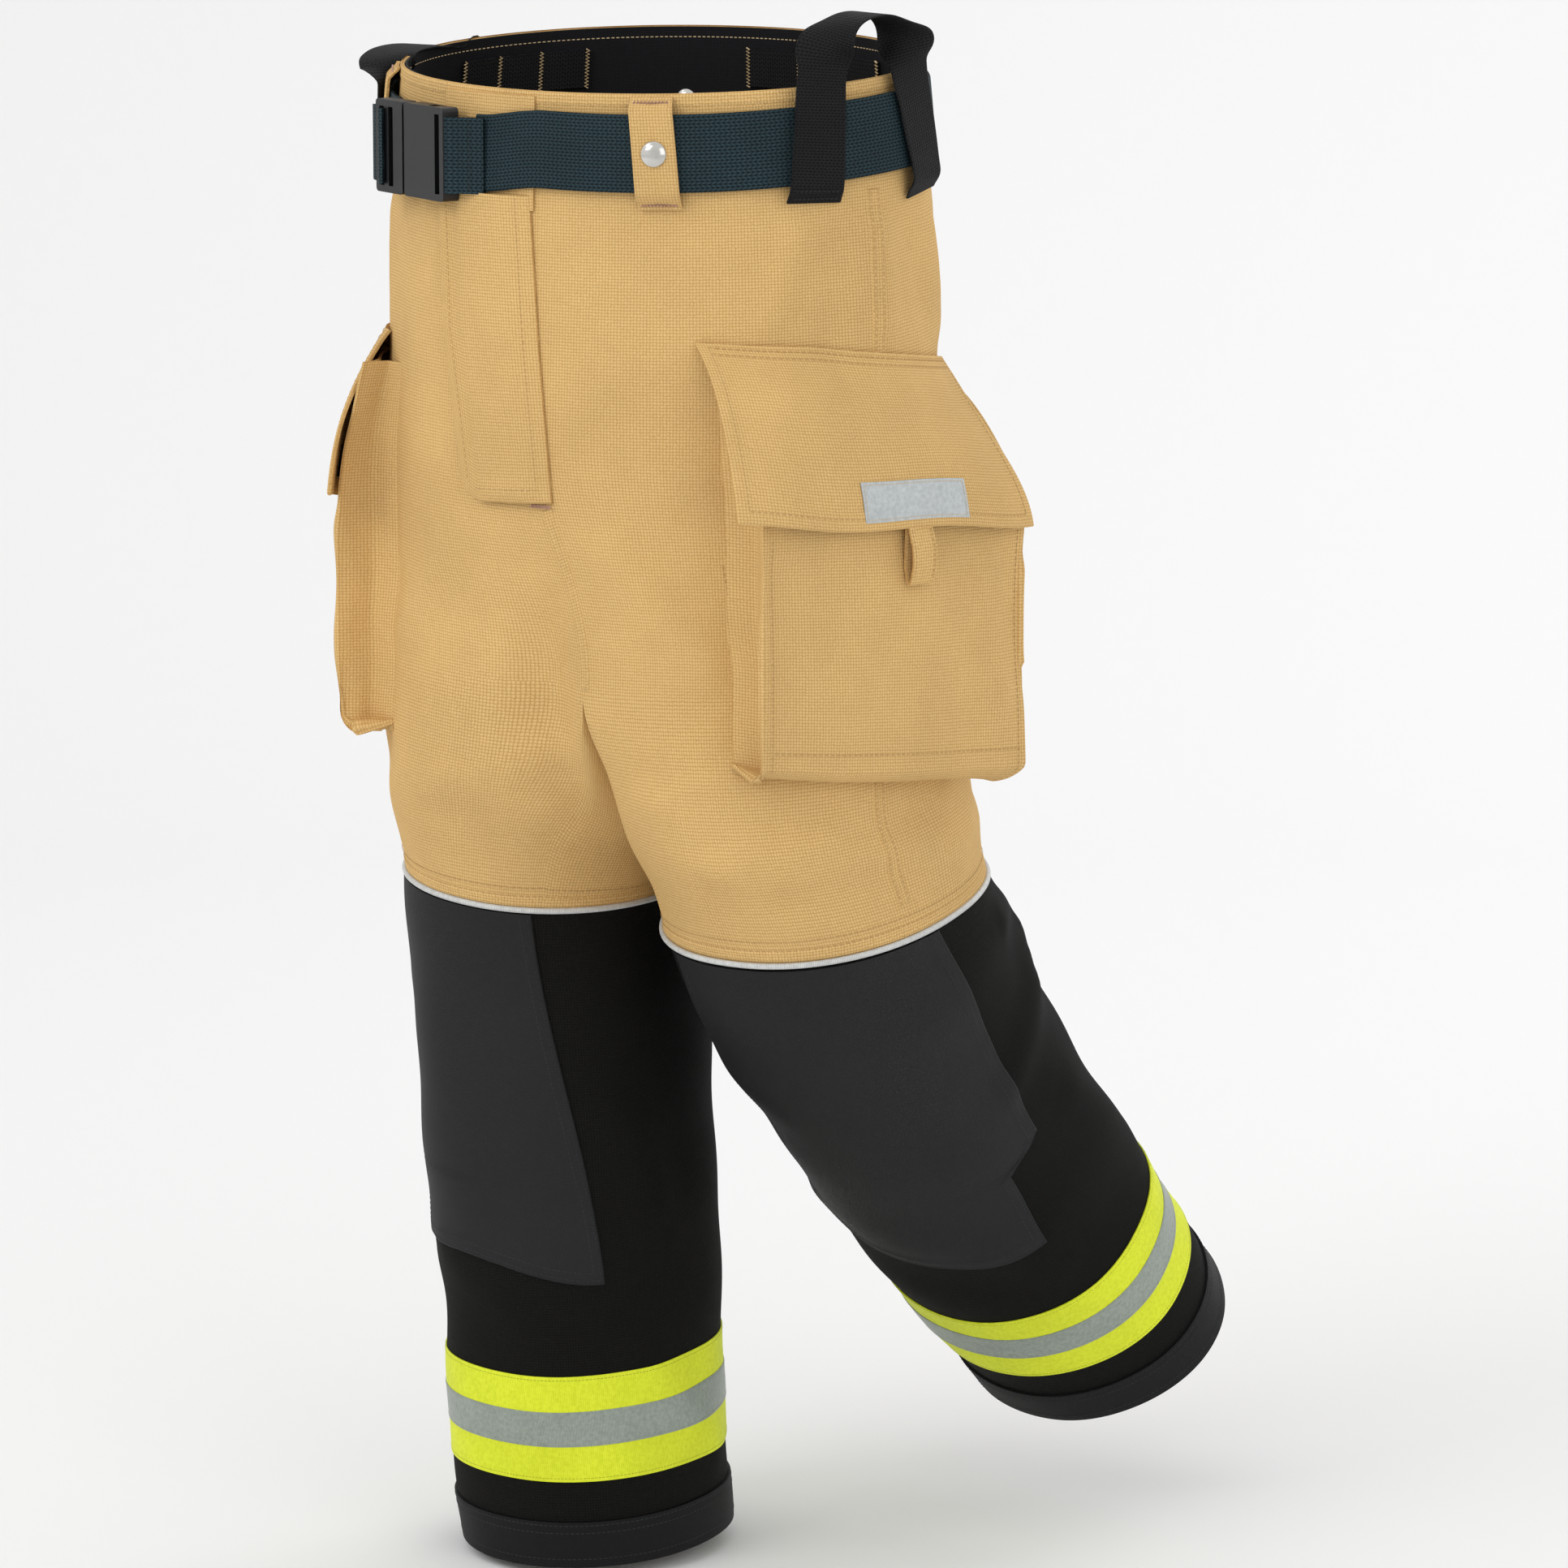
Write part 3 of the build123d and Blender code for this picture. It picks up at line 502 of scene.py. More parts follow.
def ribbed(name, dark, light, roughness, pitch=1.0, metallic=0.0, depth=0.00012):
    """Tape with fine ribs along its length."""
    n = Nodes(name, roughness, metallic)
    u = n.uv()[0]
    rib = n.math("SINE", n.math("MULTIPLY", u, 2 * np.pi / (pitch * MM)))
    level = n.math("ADD", n.math("MULTIPLY", rib, 0.25), n.noise(350, 3.0))
    colour = n.tint(n.ramp(level, ((0.2, dark), (0.8, light))), n.noise(14, 4.0), 0.94, 1.0)
    return n.finish(colour, level, depth, 0.5)


def plain(name, colour, roughness):
    n = Nodes(name, roughness)
    n.shader.inputs["Base Color"].default_value = linear(colour)
    return n.material


CANVAS = woven("canvas_tan", (188, 148, 92), (214, 174, 112), (228, 192, 132), 2.1)
LEG_CLOTH = woven("leg_black", (9, 9, 8), (19, 19, 17), (29, 28, 26), 1.9, depth=0.0003)
KNEE_CLOTH = woven("knee_charcoal", (33, 33, 34), (40, 40, 41), (46, 46, 47), 1.1, roughness=0.6,
                   wobble=0.15, depth=0.0001)
CUFF_CLOTH = woven("cuff_black", (20, 20, 20), (28, 28, 29), (33, 33, 34), 1.2, roughness=0.6, depth=0.0001)
FACING_CLOTH = woven("facing_black", (12, 12, 14), (26, 26, 29), (36, 36, 40), 1.4, roughness=0.7,
                     depth=0.0002)
LINER_CLOTH = woven("liner_quilt", (150, 140, 104), (188, 178, 136), (205, 196, 158), 1.3, roughness=0.7,
                    depth=0.0002)
BELT_WEB = webbing("belt_teal", (14, 24, 28), (48, 66, 72), 2.2, along="u")
BLACK_WEB = webbing("webbing_black", (8, 8, 9), (38, 38, 40), 1.9)
LIME = ribbed("trim_lime", (206, 218, 40), (234, 243, 64), 0.55)
SILVER = ribbed("trim_silver", (128, 138, 130), (164, 172, 162), 0.4, 0.8, 0.25)
PIPING = ribbed("piping_grey", (176, 178, 176), (214, 216, 214), 0.45, 1.2)
LABEL = ribbed("label_silver", (168, 174, 176), (206, 210, 210), 0.4, 0.7, 0.3)
PLASTIC = grained("buckle_plastic", (11, 12, 14), (22, 23, 26), 0.42)
CHROME = grained("snap_chrome", (196, 194, 188), (232, 230, 226), 0.16, 1.0, 40, 0.00003)
BRASS = grained("zipper_metal", (150, 128, 84), (190, 166, 116), 0.35, 1.0, 300)
TAPE = grained("tape_black", (12, 12, 12), (34, 34, 34), 0.95, 0.0, 1500, 0.0006)
THREAD_TAN = grained("thread_tan", (176, 140, 88), (206, 170, 116), 0.75, 0.0, 2500, 0.0001)
THREAD_BLACK = grained("thread_black", (30, 30, 32), (62, 62, 64), 0.6, 0.0, 2500, 0.0001)
THREAD_CREAM = grained("thread_cream", (190, 164, 122), (222, 200, 160), 0.75, 0.0, 2500, 0.0001)
THREAD_PINK = grained("thread_mauve", (170, 132, 120), (196, 160, 150), 0.75, 0.0, 2500, 0.0001)
THREAD_GREEN = grained("thread_olive", (150, 158, 40), (196, 204, 60), 0.75, 0.0, 2500, 0.0001)


# ---------------------------------------------------------------- outer shell
def trunk_skin():
    angles = np.arange(COLUMNS) * 360 / COLUMNS
    v = np.linspace(0, 1, TRUNK_ROWS)[:, None]
    z = waist_height(angles) * (1 - v) - TRUNK_DROP * v
    return Skin(trunk_point(np.broadcast_to(angles, z.shape), z), True)


def crotch_line(top):
    """Curve under the fork from the back centre to the front centre."""
    q = np.linspace(0, 1, CROTCH_POINTS + 2)[1:-1, None]
    front, back = top[0], top[COLUMNS // 2]
    line = back + (front - back) * q
    line[:, 2] -= CROTCH_DEPTH * np.sin(np.pi * q[:, 0]) ** 0.6
    return line


def thigh_skin(side, top_ring, line):
    """From the fork to the piping: a half trunk that rounds into the leg's section."""
    sections = sections_along(THIGH[side], THIGH_ROWS)
    inner = np.linspace(BACK_TURN, 360 + FRONT_TURN, CROTCH_POINTS + 2)[1:-1]
    turns = side * np.concatenate([np.linspace(FRONT_TURN, BACK_TURN, COLUMNS // 2 + 1), inner])
    half = top_ring[np.arange(COLUMNS // 2 + 1) * side % COLUMNS]
    start = np.concatenate([half, line])
    rings = np.stack([ring(s, turns) for s in sections])
    t = np.linspace(0, 1, THIGH_ROWS)[:, None]
    points = rings + (start - rings) * (1 - smooth(t / 0.8))[..., None]
    points[..., 2] = start[:, 2] + (rings[-1, :, 2] - start[:, 2]) * t
    return Skin(points, True, side)


def leg_skin(side):
    turns = side * np.arange(LEG_COLUMNS) * 360 / LEG_COLUMNS
    return Skin(np.stack([ring(s, turns) for s in sections_along(LEG[side], LEG_ROWS)]), True, side)


trunk = trunk_skin()
fork = crotch_line(trunk.points[-1])
thighs = {side: thigh_skin(side, trunk.points[-1], fork) for side in SIDES}
legs = {side: leg_skin(side) for side in SIDES}
for points in (trunk.points, fork, *[skin.points for skin in thighs.values()]):
    pull_fork(points)
for skin in (trunk, *thighs.values()):
    skin.refresh()
smooth_trunk = trunk.points.copy()


def trunk_spot(angle, z):
    """Row and column of the trunk at an angle round the waist and a height."""
    angle, z = np.broadcast_arrays(np.asarray(angle, float), z)
    top = waist_height(angle)
    return (top - z) / (TRUNK_DROP + top) * (TRUNK_ROWS - 1), angle * COLUMNS / 360


def trunk_at(angle, z, lift=0.0):
    return trunk.at(*trunk_spot(angle, z), lift)


def leg_at(side, turn, down, lift=0.0):
    """Point on a lower leg: turn from its front towards its outer side, millimetres below the piping."""
    skin = legs[side]
    return skin.at(np.interp(down, skin.v, np.arange(LEG_ROWS)), np.asarray(turn) * LEG_COLUMNS / 360, lift)


def thigh_at(side, turn, up, lift=0.0):
    """Point on a thigh: turn on its ring, millimetres above the piping."""
    skin = thighs[side]
    span = BACK_TURN - FRONT_TURN
    turn = np.mod(np.asarray(turn, float) - FRONT_TURN, 360)
    outer = turn / span * (COLUMNS // 2)
    inner = COLUMNS // 2 + (turn - span) / (360 - span) * (CROTCH_POINTS + 1)
    row = np.interp(skin.v[-1] - up, skin.v, np.arange(THIGH_ROWS))
    return skin.at(row, np.where(turn <= span, outer, inner), lift)


# Folds of the trunk, as angle and height at both ends, then height and width
TRUNK_FOLDS = [
    ((58, -84), (47, -168), 3.2, 11), ((68, -82), (62, -185), -2.6, 12), ((79, -84), (80, -170), 2.8, 12),
    ((90, -84), (100, -165), -2.4, 12), ((104, -86), (118, -180), 2.6, 14),
    ((-62, -86), (-52, -190), 2.5, 13),
    ((-85, -86), (-80, -175), -2.4, 13), ((-110, -86), (-118, -190), 2.8, 14),
    ((132, -80), (122, -230), -3.2, 16),
    ((160, -80), (150, -260), 3.0, 18), ((-150, -80), (-140, -250), 3.2, 18),
    ((-170, -90), (-162, -300), -2.8, 18),
    ((12, -300), (38, -392), 4.0, 16), ((30, -250), (52, -330), 2.2, 20), ((-24, -305), (-46, -392), 3.4, 16),
    ((-60, -250), (-48, -360), -2.4, 18), ((170, -330), (140, -392), 4.5, 16),
    ((-170, -330), (-140, -392), 4.5, 16),
]
# Folds of the thighs and lower legs: side, turn and height from the piping at both ends, height, width
THIGH_FOLDS = [
    (1, (-20, 96), (38, 118), 4.2, 12), (1, (2, 62), (58, 78), 4.8, 13), (1, (22, 40), (72, 46), -3.6, 12),
    (1, (60, 60), (118, 44), 4.0, 14), (1, (140, 40), (212, 70), 6.5, 16),
    (1, (130, 84), (205, 118), 5.5, 16),
    (-1, (-28, 120), (20, 70), 3.0, 15), (-1, (30, 100), (70, 50), -2.6, 15),
    (-1, (150, 60), (210, 90), 4.5, 17),
]
LEG_FOLDS = [
    (1, (140, 12), (215, 30), 9.0, 17), (1, (150, 58), (222, 66), 9.5, 18),
    (1, (135, 104), (210, 96), 8.0, 17),
    (1, (108, 40), (150, 76), 4.5, 14), (1, (-60, 30), (-120, 58), 5.0, 14),
    (1, (70, 150), (128, 120), 4.0, 16),
    (1, (100, 190), (140, 330), 3.0, 20), (1, (-40, 210), (-90, 300), 3.0, 20),
    (1, (30, 250), (62, 320), 2.5, 20),
    (-1, (150, 40), (215, 70), 5.0, 18), (-1, (140, 110), (205, 92), 4.5, 18),
    (-1, (60, 60), (96, 170), 3.0, 20),
    (-1, (-50, 130), (-80, 240), 3.0, 20), (-1, (60, 260), (110, 380), 3.2, 22),
    (-1, (150, 250), (190, 400), 3.4, 22),
    (-1, (-60, 330), (-110, 430), 3.0, 20), (-1, (-8, 290), (40, 250), 2.2, 18),
]
for start, end, height, width in TRUNK_FOLDS:
    fold(trunk, trunk_at(*start)[0], trunk_at(*end)[0], height, width)
for side, skin in thighs.items():
    for start, end, height, width in TRUNK_FOLDS[12:]:
        fold(skin, trunk_at(*start)[0], trunk_at(*end)[0], height, width)
for side, start, end, height, width in THIGH_FOLDS:
    a, b = thigh_at(side, *start)[0], thigh_at(side, *end)[0]
    fold(thighs[side], a, b, height, width)
for side, start, end, height, width in LEG_FOLDS:
    fold(legs[side], leg_at(side, *start)[0], leg_at(side, *end)[0], height, width)


def calm(skin, weight, before):
    """Keeps a surface as it was where other pieces lie on it."""
    skin.points = before + (skin.points - before) * weight[..., None]


wrinkle(trunk.points, trunk.normals, 1.3, 120, 3)
x, y, z = (smooth_trunk[..., k] for k in range(3))
under_fly = smooth((x + 112) / 20) * smooth((34 - x) / 16) * smooth(-y / 40) * smooth((z + 300) / 20)
under_belt = smooth((z + 92) / 18)
calm(trunk, 1 - np.maximum(under_fly, under_belt) * 0.92, smooth_trunk)
for side, skin in thighs.items():
    wrinkle(skin.points, skin.normals, 1.5, 110, 5 + side)
    half = trunk.points[-1][np.arange(COLUMNS // 2 + 1) * side % COLUMNS]
    top = np.concatenate([half, fork])
    fade = (1 - smooth(np.arange(THIGH_ROWS) / 7.0))[:, None, None]
    skin.points = skin.points + (top - skin.points[0]) * fade
for side, skin in legs.items():
    wrinkle(skin.points, skin.normals, 1.6, 105, 15 + side)
    edge = np.exp(-np.arange(LEG_ROWS) / 4.0)[:, None, None]
    seam_ring = ring(sections_along(THIGH[side], 2)[-1], side * np.arange(LEG_COLUMNS) * 360 / LEG_COLUMNS)
    skin.points = skin.points + (seam_ring - skin.points[0]) * edge
for skin in (trunk, *thighs.values(), *legs.values()):
    skin.refresh()
for side, skin in thighs.items():      # the piping is one flat ring shared with the lower leg
    spread = np.exp(-np.arange(THIGH_ROWS)[::-1] / 4.0)[:, None, None]
    turns = side * np.concatenate([
        np.linspace(FRONT_TURN, BACK_TURN, COLUMNS // 2 + 1),
        np.linspace(BACK_TURN, 360 + FRONT_TURN, CROTCH_POINTS + 2)[1:-1]])
    skin.points = skin.points + (ring(sections_along(THIGH[side], 2)[-1], turns) - skin.points[-1]) * spread
    skin.refresh()


def shell_piece(name, lift, first_row, material):
    """Trunk and thighs as one mesh, moved along the normals by lift and thickened inwards."""
    body = (trunk.points + trunk.normals * lift)[first_row:]
    rows = len(body)
    crotch = fork + np.array([0, 0, lift])
    parts = {side: (skin.points + skin.normals * lift)[1:] for side, skin in thighs.items()}
    points = [body.reshape(-1, 3), crotch]
    quads, corners = grid_quads(rows, COLUMNS, True, False)
    v = trunk.v[first_row:]
    all_quads = [quads]
    all_uv = [np.stack([trunk.u[corners[..., 1]], v[corners[..., 0]]], -1)]
    count = rows * COLUMNS + CROTCH_POINTS
    for side, part in parts.items():
        width = part.shape[1]
        half = (rows - 1) * COLUMNS + np.arange(COLUMNS // 2 + 1) * side % COLUMNS
        top = np.concatenate([half, rows * COLUMNS + np.arange(CROTCH_POINTS)])
        index = np.concatenate([top[None], count + np.arange(part.shape[0] * width).reshape(-1, width)])
        quads, corners = grid_quads(len(index), width, True, side < 0)
        all_quads.append(index.reshape(-1)[quads])
        u = np.append(trunk.u[:COLUMNS // 2 + 1],
                      trunk.u[COLUMNS // 2] + np.cumsum(np.full(CROTCH_POINTS + 1, 7.0)))
        all_uv.append(np.stack([u[corners[..., 1]], (thighs[side].v + trunk.v[-1])[corners[..., 0]]], -1))
        points.append(part.reshape(-1, 3))
        count += part.shape[0] * width
    quads = np.concatenate(all_quads)
    part = (np.concatenate(points), quads, np.concatenate(all_uv), np.zeros(len(quads), int))
    made = piece(name, [part], [material], 60)
    solid = made.modifiers.new("thickness", "SOLIDIFY")
    solid.thickness, solid.offset = SHELL * MM, -1
    return settle(made)


def ride(obj, body, slot, *nodes):
    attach(obj, body)
    if nodes:
        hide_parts(*nodes)
    return obj


PANELS = [f"shell_{face}_{side}" for face in ("front", "back") for side in ("left", "right")]
ride(shell_piece("shell", 0.0, 0, CANVAS), "root", "canvas_tan", *PANELS, "thigh_left",
             "thigh_right", "crotch_gusset")


def knee_blend(obj, side, slot, *nodes):
    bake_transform(obj)
    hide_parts(*nodes)
    return obj


def leg_band(side, start, end, lift, thickness, material, step=5.0, rows=None):
    """Ring of cloth round a lower leg between two distances below the piping."""
    down = np.linspace(start, end, max(3, int((end - start) / step))) if rows is None else rows
    turns = np.arange(LEG_COLUMNS) * 360 / LEG_COLUMNS
    outer = leg_at(side, turns[None], down[:, None], lift + thickness)[0]
    inner = leg_at(side, turns[None], down[:, None], lift)[0]
    return slab(outer, inner, legs[side].u, down, material, True, side < 0)


def leg_stitches(side, down, lift, material=1, **size):
    turns = np.linspace(0, 360, 361)
    return stitches(*leg_at(side, turns, np.full(361, float(down)), lift), material=material, **size)


def hem_of(side):
    return legs[side].v[-1]


TRIM_TOP, TRIM_WIDTH, SILVER_WIDTH = 138.2, 76.2, 25.4
CUFF_HEIGHT = 33.0
for side, label in SIDES.items():
    length = hem_of(side)
    tube = piece(f"leg_{label}", [leg_band(side, 0, length, -SHELL, SHELL, 0)], [LEG_CLOTH], 60)
    knee_blend(tube, side, "leg_black", f"knee_section_{label}", f"shin_{label}")
    shin = label + "_shin"
    top = length - TRIM_TOP
    rows = top + edge_spaced(TRIM_WIDTH, 3.0)
    trim = piece(f"lime_tape_{label}", [leg_band(side, 0, 0, 0.3, 0.9, 0, rows=rows)], [LIME])
    ride(trim, shin, "trim_lime", f"trim_lime_{label}")
    middle = top + (TRIM_WIDTH - SILVER_WIDTH) / 2
    silver = piece(f"silver_tape_{label}",
                   [leg_band(side, middle, middle + SILVER_WIDTH, 1.0, 0.6, 0, 3.0)], [SILVER])
    ride(silver, shin, "trim_silver", f"trim_silver_{label}")
    lines = [leg_stitches(side, top + d, 1.2, 0, pitch=2.6, length=1.9, width=0.6, height=0.3)
             for d in (2.5, TRIM_WIDTH - 2.5)]
    lines += [leg_stitches(side, middle + d, 1.6, 1, pitch=2.6, length=1.9, width=0.6, height=0.3)
              for d in (1.5, SILVER_WIDTH - 1.5)]
    ride(piece(f"trim_stitching_{label}", lines, [THREAD_GREEN, SILVER]), shin, "trim_lime")
    rows = length - CUFF_HEIGHT + edge_spaced(CUFF_HEIGHT + 0.8, 3.0, (0, 0.5, 1.2, 2.2))
    outer, _ = leg_at(side, (np.arange(LEG_COLUMNS) * 360 / LEG_COLUMNS)[None], rows[:, None], 0)
    cuff = leg_band(side, 0, 0, 0.2, 1.7, 0, rows=rows)
    lines = [leg_stitches(side, length - CUFF_HEIGHT + d, 1.9, pitch=3.6, length=2.6, width=0.8, height=0.4)
             for d in (2.5, 8, 27)]
    ride(piece(f"cuff_cloth_{label}", [cuff], [CUFF_CLOTH]), shin, "leg_black", f"cuff_{label}")
    ride(piece(f"cuff_stitching_{label}", lines, [THREAD_BLACK, THREAD_BLACK]), shin, "leg_black")


# ---------------------------------------------------------------- pieces that lie on the surfaces
def strip_on(place, across, down, lift, thickness, material=0, flip=False, rise=None):
    """Sheet of cloth on a surface. place(across, down, lift) gives points; rise adds to the outer face."""
    a, d = np.meshgrid(across, down)
    extra = 0 if rise is None else rise(a, d)
    outer = place(a, d, lift + thickness + extra)[0]
    inner = place(a, d, lift)[0]
    return slab(outer, inner, lengths(outer, 1), lengths(outer, 0), material, False, flip)


def closed_bead(path, normals, radius, material=0, points=10):
    """Round cord along a closed path."""
    along = unit(np.roll(path, -1, 0) - np.roll(path, 1, 0))
    side = np.cross(normals, along)
    angle = np.linspace(0, 2 * np.pi, points, endpoint=False)[:, None, None]
    grid = path + (normals * np.cos(angle) + side * np.sin(angle)) * radius
    run = np.append(0, np.cumsum(np.linalg.norm(np.roll(path, -1, 0) - path, axis=1)))
    grid = np.concatenate([grid, grid[:1]])
    return surface(grid, run, np.linspace(0, 2 * np.pi * radius, points + 1), material, closed=True)


def path_on(place, across, down, lift, count=200):
    """Points and normals along a line on a surface between or through given places."""
    at = np.linspace(0, 1, len(across))
    fine = np.linspace(0, 1, count)
    return place(np.interp(fine, at, across), np.interp(fine, at, down), lift)


turns = np.arange(0, 360, 2.0)
for side, label in SIDES.items():
    points, normals = leg_at(side, turns, 0 * turns, 1.0)
    bead = piece(f"piping_bead_{label}", [closed_bead(points, normals, 2.1)], [PIPING])
    ride(bead, "root", "piping_grey", f"piping_{label}")

# Knee patches: inner edge leans in towards the hem, the outer edge steps in at a notch
NOTCH, PATCH_TOP = 192.0, 3.0
for side, label in SIDES.items():
    def inner_edge(d):
        return -30 - 18 * smooth(d / 290)

    def outer_edge(d):
        return 82 - 2 * smooth(d / 190) - 20 * smooth((d - NOTCH) / 13) - 3 * smooth((d - NOTCH - 20) / 70)

    def bottom_edge(s):
        return 249 + 27 * smooth(s) if side > 0 else 273 - 18 * smooth(s * 1.6)

    def on_patch(s, t, lift):
        down = PATCH_TOP + (bottom_edge(s) - PATCH_TOP) * t
        return leg_at(side, inner_edge(down) + (outer_edge(down) - inner_edge(down)) * s, down, lift)

    width, height = 205.0, 262.0
    s = edge_spaced(width, 5.0, (0, 0.6, 1.6, 3, 4.5, 6, 8, 10, 12)) / width
    t = edge_spaced(height, 4.0, (0, 0.6, 1.6, 3, 4.5, 6, 8, 10, 12)) / height

    def patch_rise(s, t):
        d = np.minimum(np.minimum(s, 1 - s) * width, np.minimum(t + 1, 1 - t) * height)
        return hem_height(d, 0.5, (3.5, 9.0))

    patch = piece(f"knee_cloth_{label}", [strip_on(on_patch, s, t, 0.3, 1.5, 0, side < 0, patch_rise)],
                  [KNEE_CLOTH])
    knee_blend(patch, side, "knee_charcoal", f"knee_patch_{label}")
    rows = []
    for inset in (3.5, 9.0):
        a, b = inset / width, inset / height
        corners = [(a, 0.01), (a, 1 - b), (1 - a, 1 - b), (1 - a, 0.01)]
        for (s0, t0), (s1, t1) in zip(corners, corners[1:]):
            rows.append(stitches(*path_on(on_patch, (s0, s1), (t0, t1), 2.0, 260), 3.6, 2.7, 0.8, 0.45))
    stitching = piece(f"knee_stitching_{label}", rows, [THREAD_BLACK])
    knee_blend(stitching, side, "knee_charcoal")

# Seams of the trunk and thighs: felled strips with two rows of thread
def body_at(side, angle, z, lift):
    """The shell at an angle round the waist and a height, down to the piping."""
    row, column = trunk_spot(angle, z)
    upper, upper_normal = trunk.at(row, column, lift)
    skin = thighs[side]
    down = (z + TRUNK_DROP) / (skin.points[-1, 43, 2] + TRUNK_DROP)
    lower, lower_normal = skin.at(down * (THIGH_ROWS - 1), np.abs(column), lift)
    low = (z < -TRUNK_DROP)[..., None]
    return np.where(low, lower, upper), np.where(low, lower_normal, upper_normal)


seam_parts, seam_threads = [], []


def sew(points, normals, width=11.0, height=0.9, apart=6.4):
    seam_parts.append(welt(points, normals, width, height))
    side = np.cross(normals, unit(np.gradient(points, axis=0)))
    for k in (-0.5, 0.5):
        seam_threads.append(stitches(points + side * apart * k + normals * (height * 0.8), normals))


for side, label in SIDES.items():
    z = np.linspace(-70, -546, 180)
    angle = np.full(180, side * SIDE_SEAM)
    sew(*body_at(side, angle + side * 2.6 * np.sin((z + 70) / 480 * np.pi) * 0.4, z, 0.0))
z = np.linspace(-88, -388, 120)
sew(*trunk_at(np.full(120, BACK_SEAM), z))                                # centre back
z = np.linspace(-282, -398, 60)
sew(*trunk_at(0.6 + 0 * z, z), width=9.0, apart=4.5)                      # centre front, below the fly
for side in SIDES:
    up = np.linspace(96, 10, 60)
    sew(*thigh_at(side, INSEAM + 0 * up, up), width=9.0, apart=5.0)       # inseam
    turn = np.linspace(0, 360, 361)
    for up in (9.0, 14.5):
        seam_threads.append(stitches(*thigh_at(side, turn, up + 0 * turn, 0.3)))
    seam_parts.append(welt(*thigh_at(side, turn, 5.6 + 0 * turn, 0.0), 9.0, 0.8))
seams = piece("shell_seams", seam_parts, [CANVAS])
ride(seams, "root", "canvas_tan")
ride(piece("shell_stitching", seam_threads, [THREAD_TAN]), "root", "canvas_tan")

# ---------------------------------------------------------------- waist: facing, edge, webbing, snaps
FACING_DEPTH, FACING_GAP = 75.0, 2.4


def drop_at(angle, drop, lift):
    return trunk_at(angle, waist_height(angle) - drop, lift)


angles = np.arange(0, 361, 1.5)
facing = strip_on(drop_at, angles, edge_spaced(FACING_DEPTH, 5.0, (0, 0.6, 1.6, 4)), -FACING_GAP - 1.6, 1.4)
facing = piece("waist_facing_cloth", [facing], [FACING_CLOTH])
ride(facing, "root", "facing_black", "waist_facing")
edge = [stitches(*drop_at(angles, 7.0 + 0 * angles, -FACING_GAP - 1.5), 3.4, 2.4, 0.8, -0.5)]
edge.append(stitches(*drop_at(angles, 5.0 + 0 * angles, 0.2), 4.0, 3.0, 0.8, 0.4))
ride(piece("waist_stitching", edge, [THREAD_CREAM]), "root", "facing_black")
hem = [welt(*drop_at(angles, 4.0 + 0 * angles, 0.0), 9.5, 0.7)]
ride(piece("waist_hem", hem, [CANVAS]), "root", "canvas_tan")

INSIDE = -FACING_GAP - 1.6
bands, tacks = [], []
for start, end in ((-137, -102), (146, 185)):
    across = np.linspace(start, end, 40)

    def sagging(a, d, lift):
        return drop_at(a, d, lift - 1.6 * np.abs(np.sin((a - start) / (end - start) * np.pi * 3)))

    bands.append(strip_on(sagging, across, np.linspace(14, 40, 12), INSIDE - 2.6, 1.8))
    for angle in np.linspace(start, end, 4):
        points, normals = drop_at(np.array([angle, angle]), np.array([14.0, 40.0]), INSIDE - 2.9)
        tacks.append(bartack(points.mean(0), -normals[0], unit(points[1] - points[0]), 27.0))
ride(piece("suspender_bands", bands, [BLACK_WEB]), "root", "webbing_black", "suspender_webbing")
ride(piece("suspender_bartacks", tacks, [THREAD_CREAM]), "root", "webbing_black")

CAP_PROFILE = ((8.4, -0.6), (8.6, 0.3), (8.0, 1.2), (7.2, 1.5), (6.6, 1.9), (5.6, 2.5), (3.6, 3.0),
               (1.6, 3.25), (0.2, 3.3))
snaps = []
for angle in (-121.0, 160.0, 121.0, -160.0):
    points, normals = drop_at(np.array([angle]), np.array([50.0]), INSIDE - 0.2)
    snaps.append(dome(points[0], -normals[0], [(r * 0.86, h) for r, h in CAP_PROFILE]))
ride(piece("facing_snap_caps", snaps, [CHROME]), "root", "snap_chrome", "facing_snaps")

# Quilted liner of the trunk, thighs and lower legs
LINER_LIFT = -5.2
liner = shell_piece("liner", LINER_LIFT, int(TRUNK_ROWS * 0.22), LINER_CLOTH)
ride(liner, "root", "liner_quilt", "thermal_liner")
for side, label in SIDES.items():
    tube = piece(f"leg_liner_{label}", [leg_band(side, 4, hem_of(side) - 12, LINER_LIFT - 2.2, 2.0, 0)],
                 [LINER_CLOTH], 60)
    knee_blend(tube, side, "liner_quilt", f"shin_liner_{label}")

# ---------------------------------------------------------------- belt
BELT_WIDTH, BELT_LIFT, WEBBING = 50.8, 3.4, 2.2
BELT_START, BELT_END = -15.5, 313.0


def belt_at(angle, across, lift):
    turn = np.mod(angle + 180, 360) - 180
    drop = 11.5 + 7 * smooth((2 - turn) / 18) * smooth((turn + 90) / 40) + 1.2 * np.sin(np.radians(angle * 3))
    return drop_at(turn, drop + across, lift + 0.7 * np.sin(np.radians(angle * 5 + 40)))


angles = np.linspace(BELT_START, BELT_END, 330)
across = edge_spaced(BELT_WIDTH, 6.0, (0, 0.8, 2.0, 4.0))


def selvedge(a, d):
    return -0.7 * np.exp(-(np.minimum(d, BELT_WIDTH - d) / 0.9) ** 2)


belt_parts = [strip_on(belt_at, angles, across, BELT_LIFT, WEBBING, rise=selvedge)]
cross = {name: np.array(v) for name, v in dict(
    origin=(-103.687, -124.854, -51.4), x=(0.908212, -0.418511, 0.0), z=(-0.418511, -0.908212, 0.0)).items()}


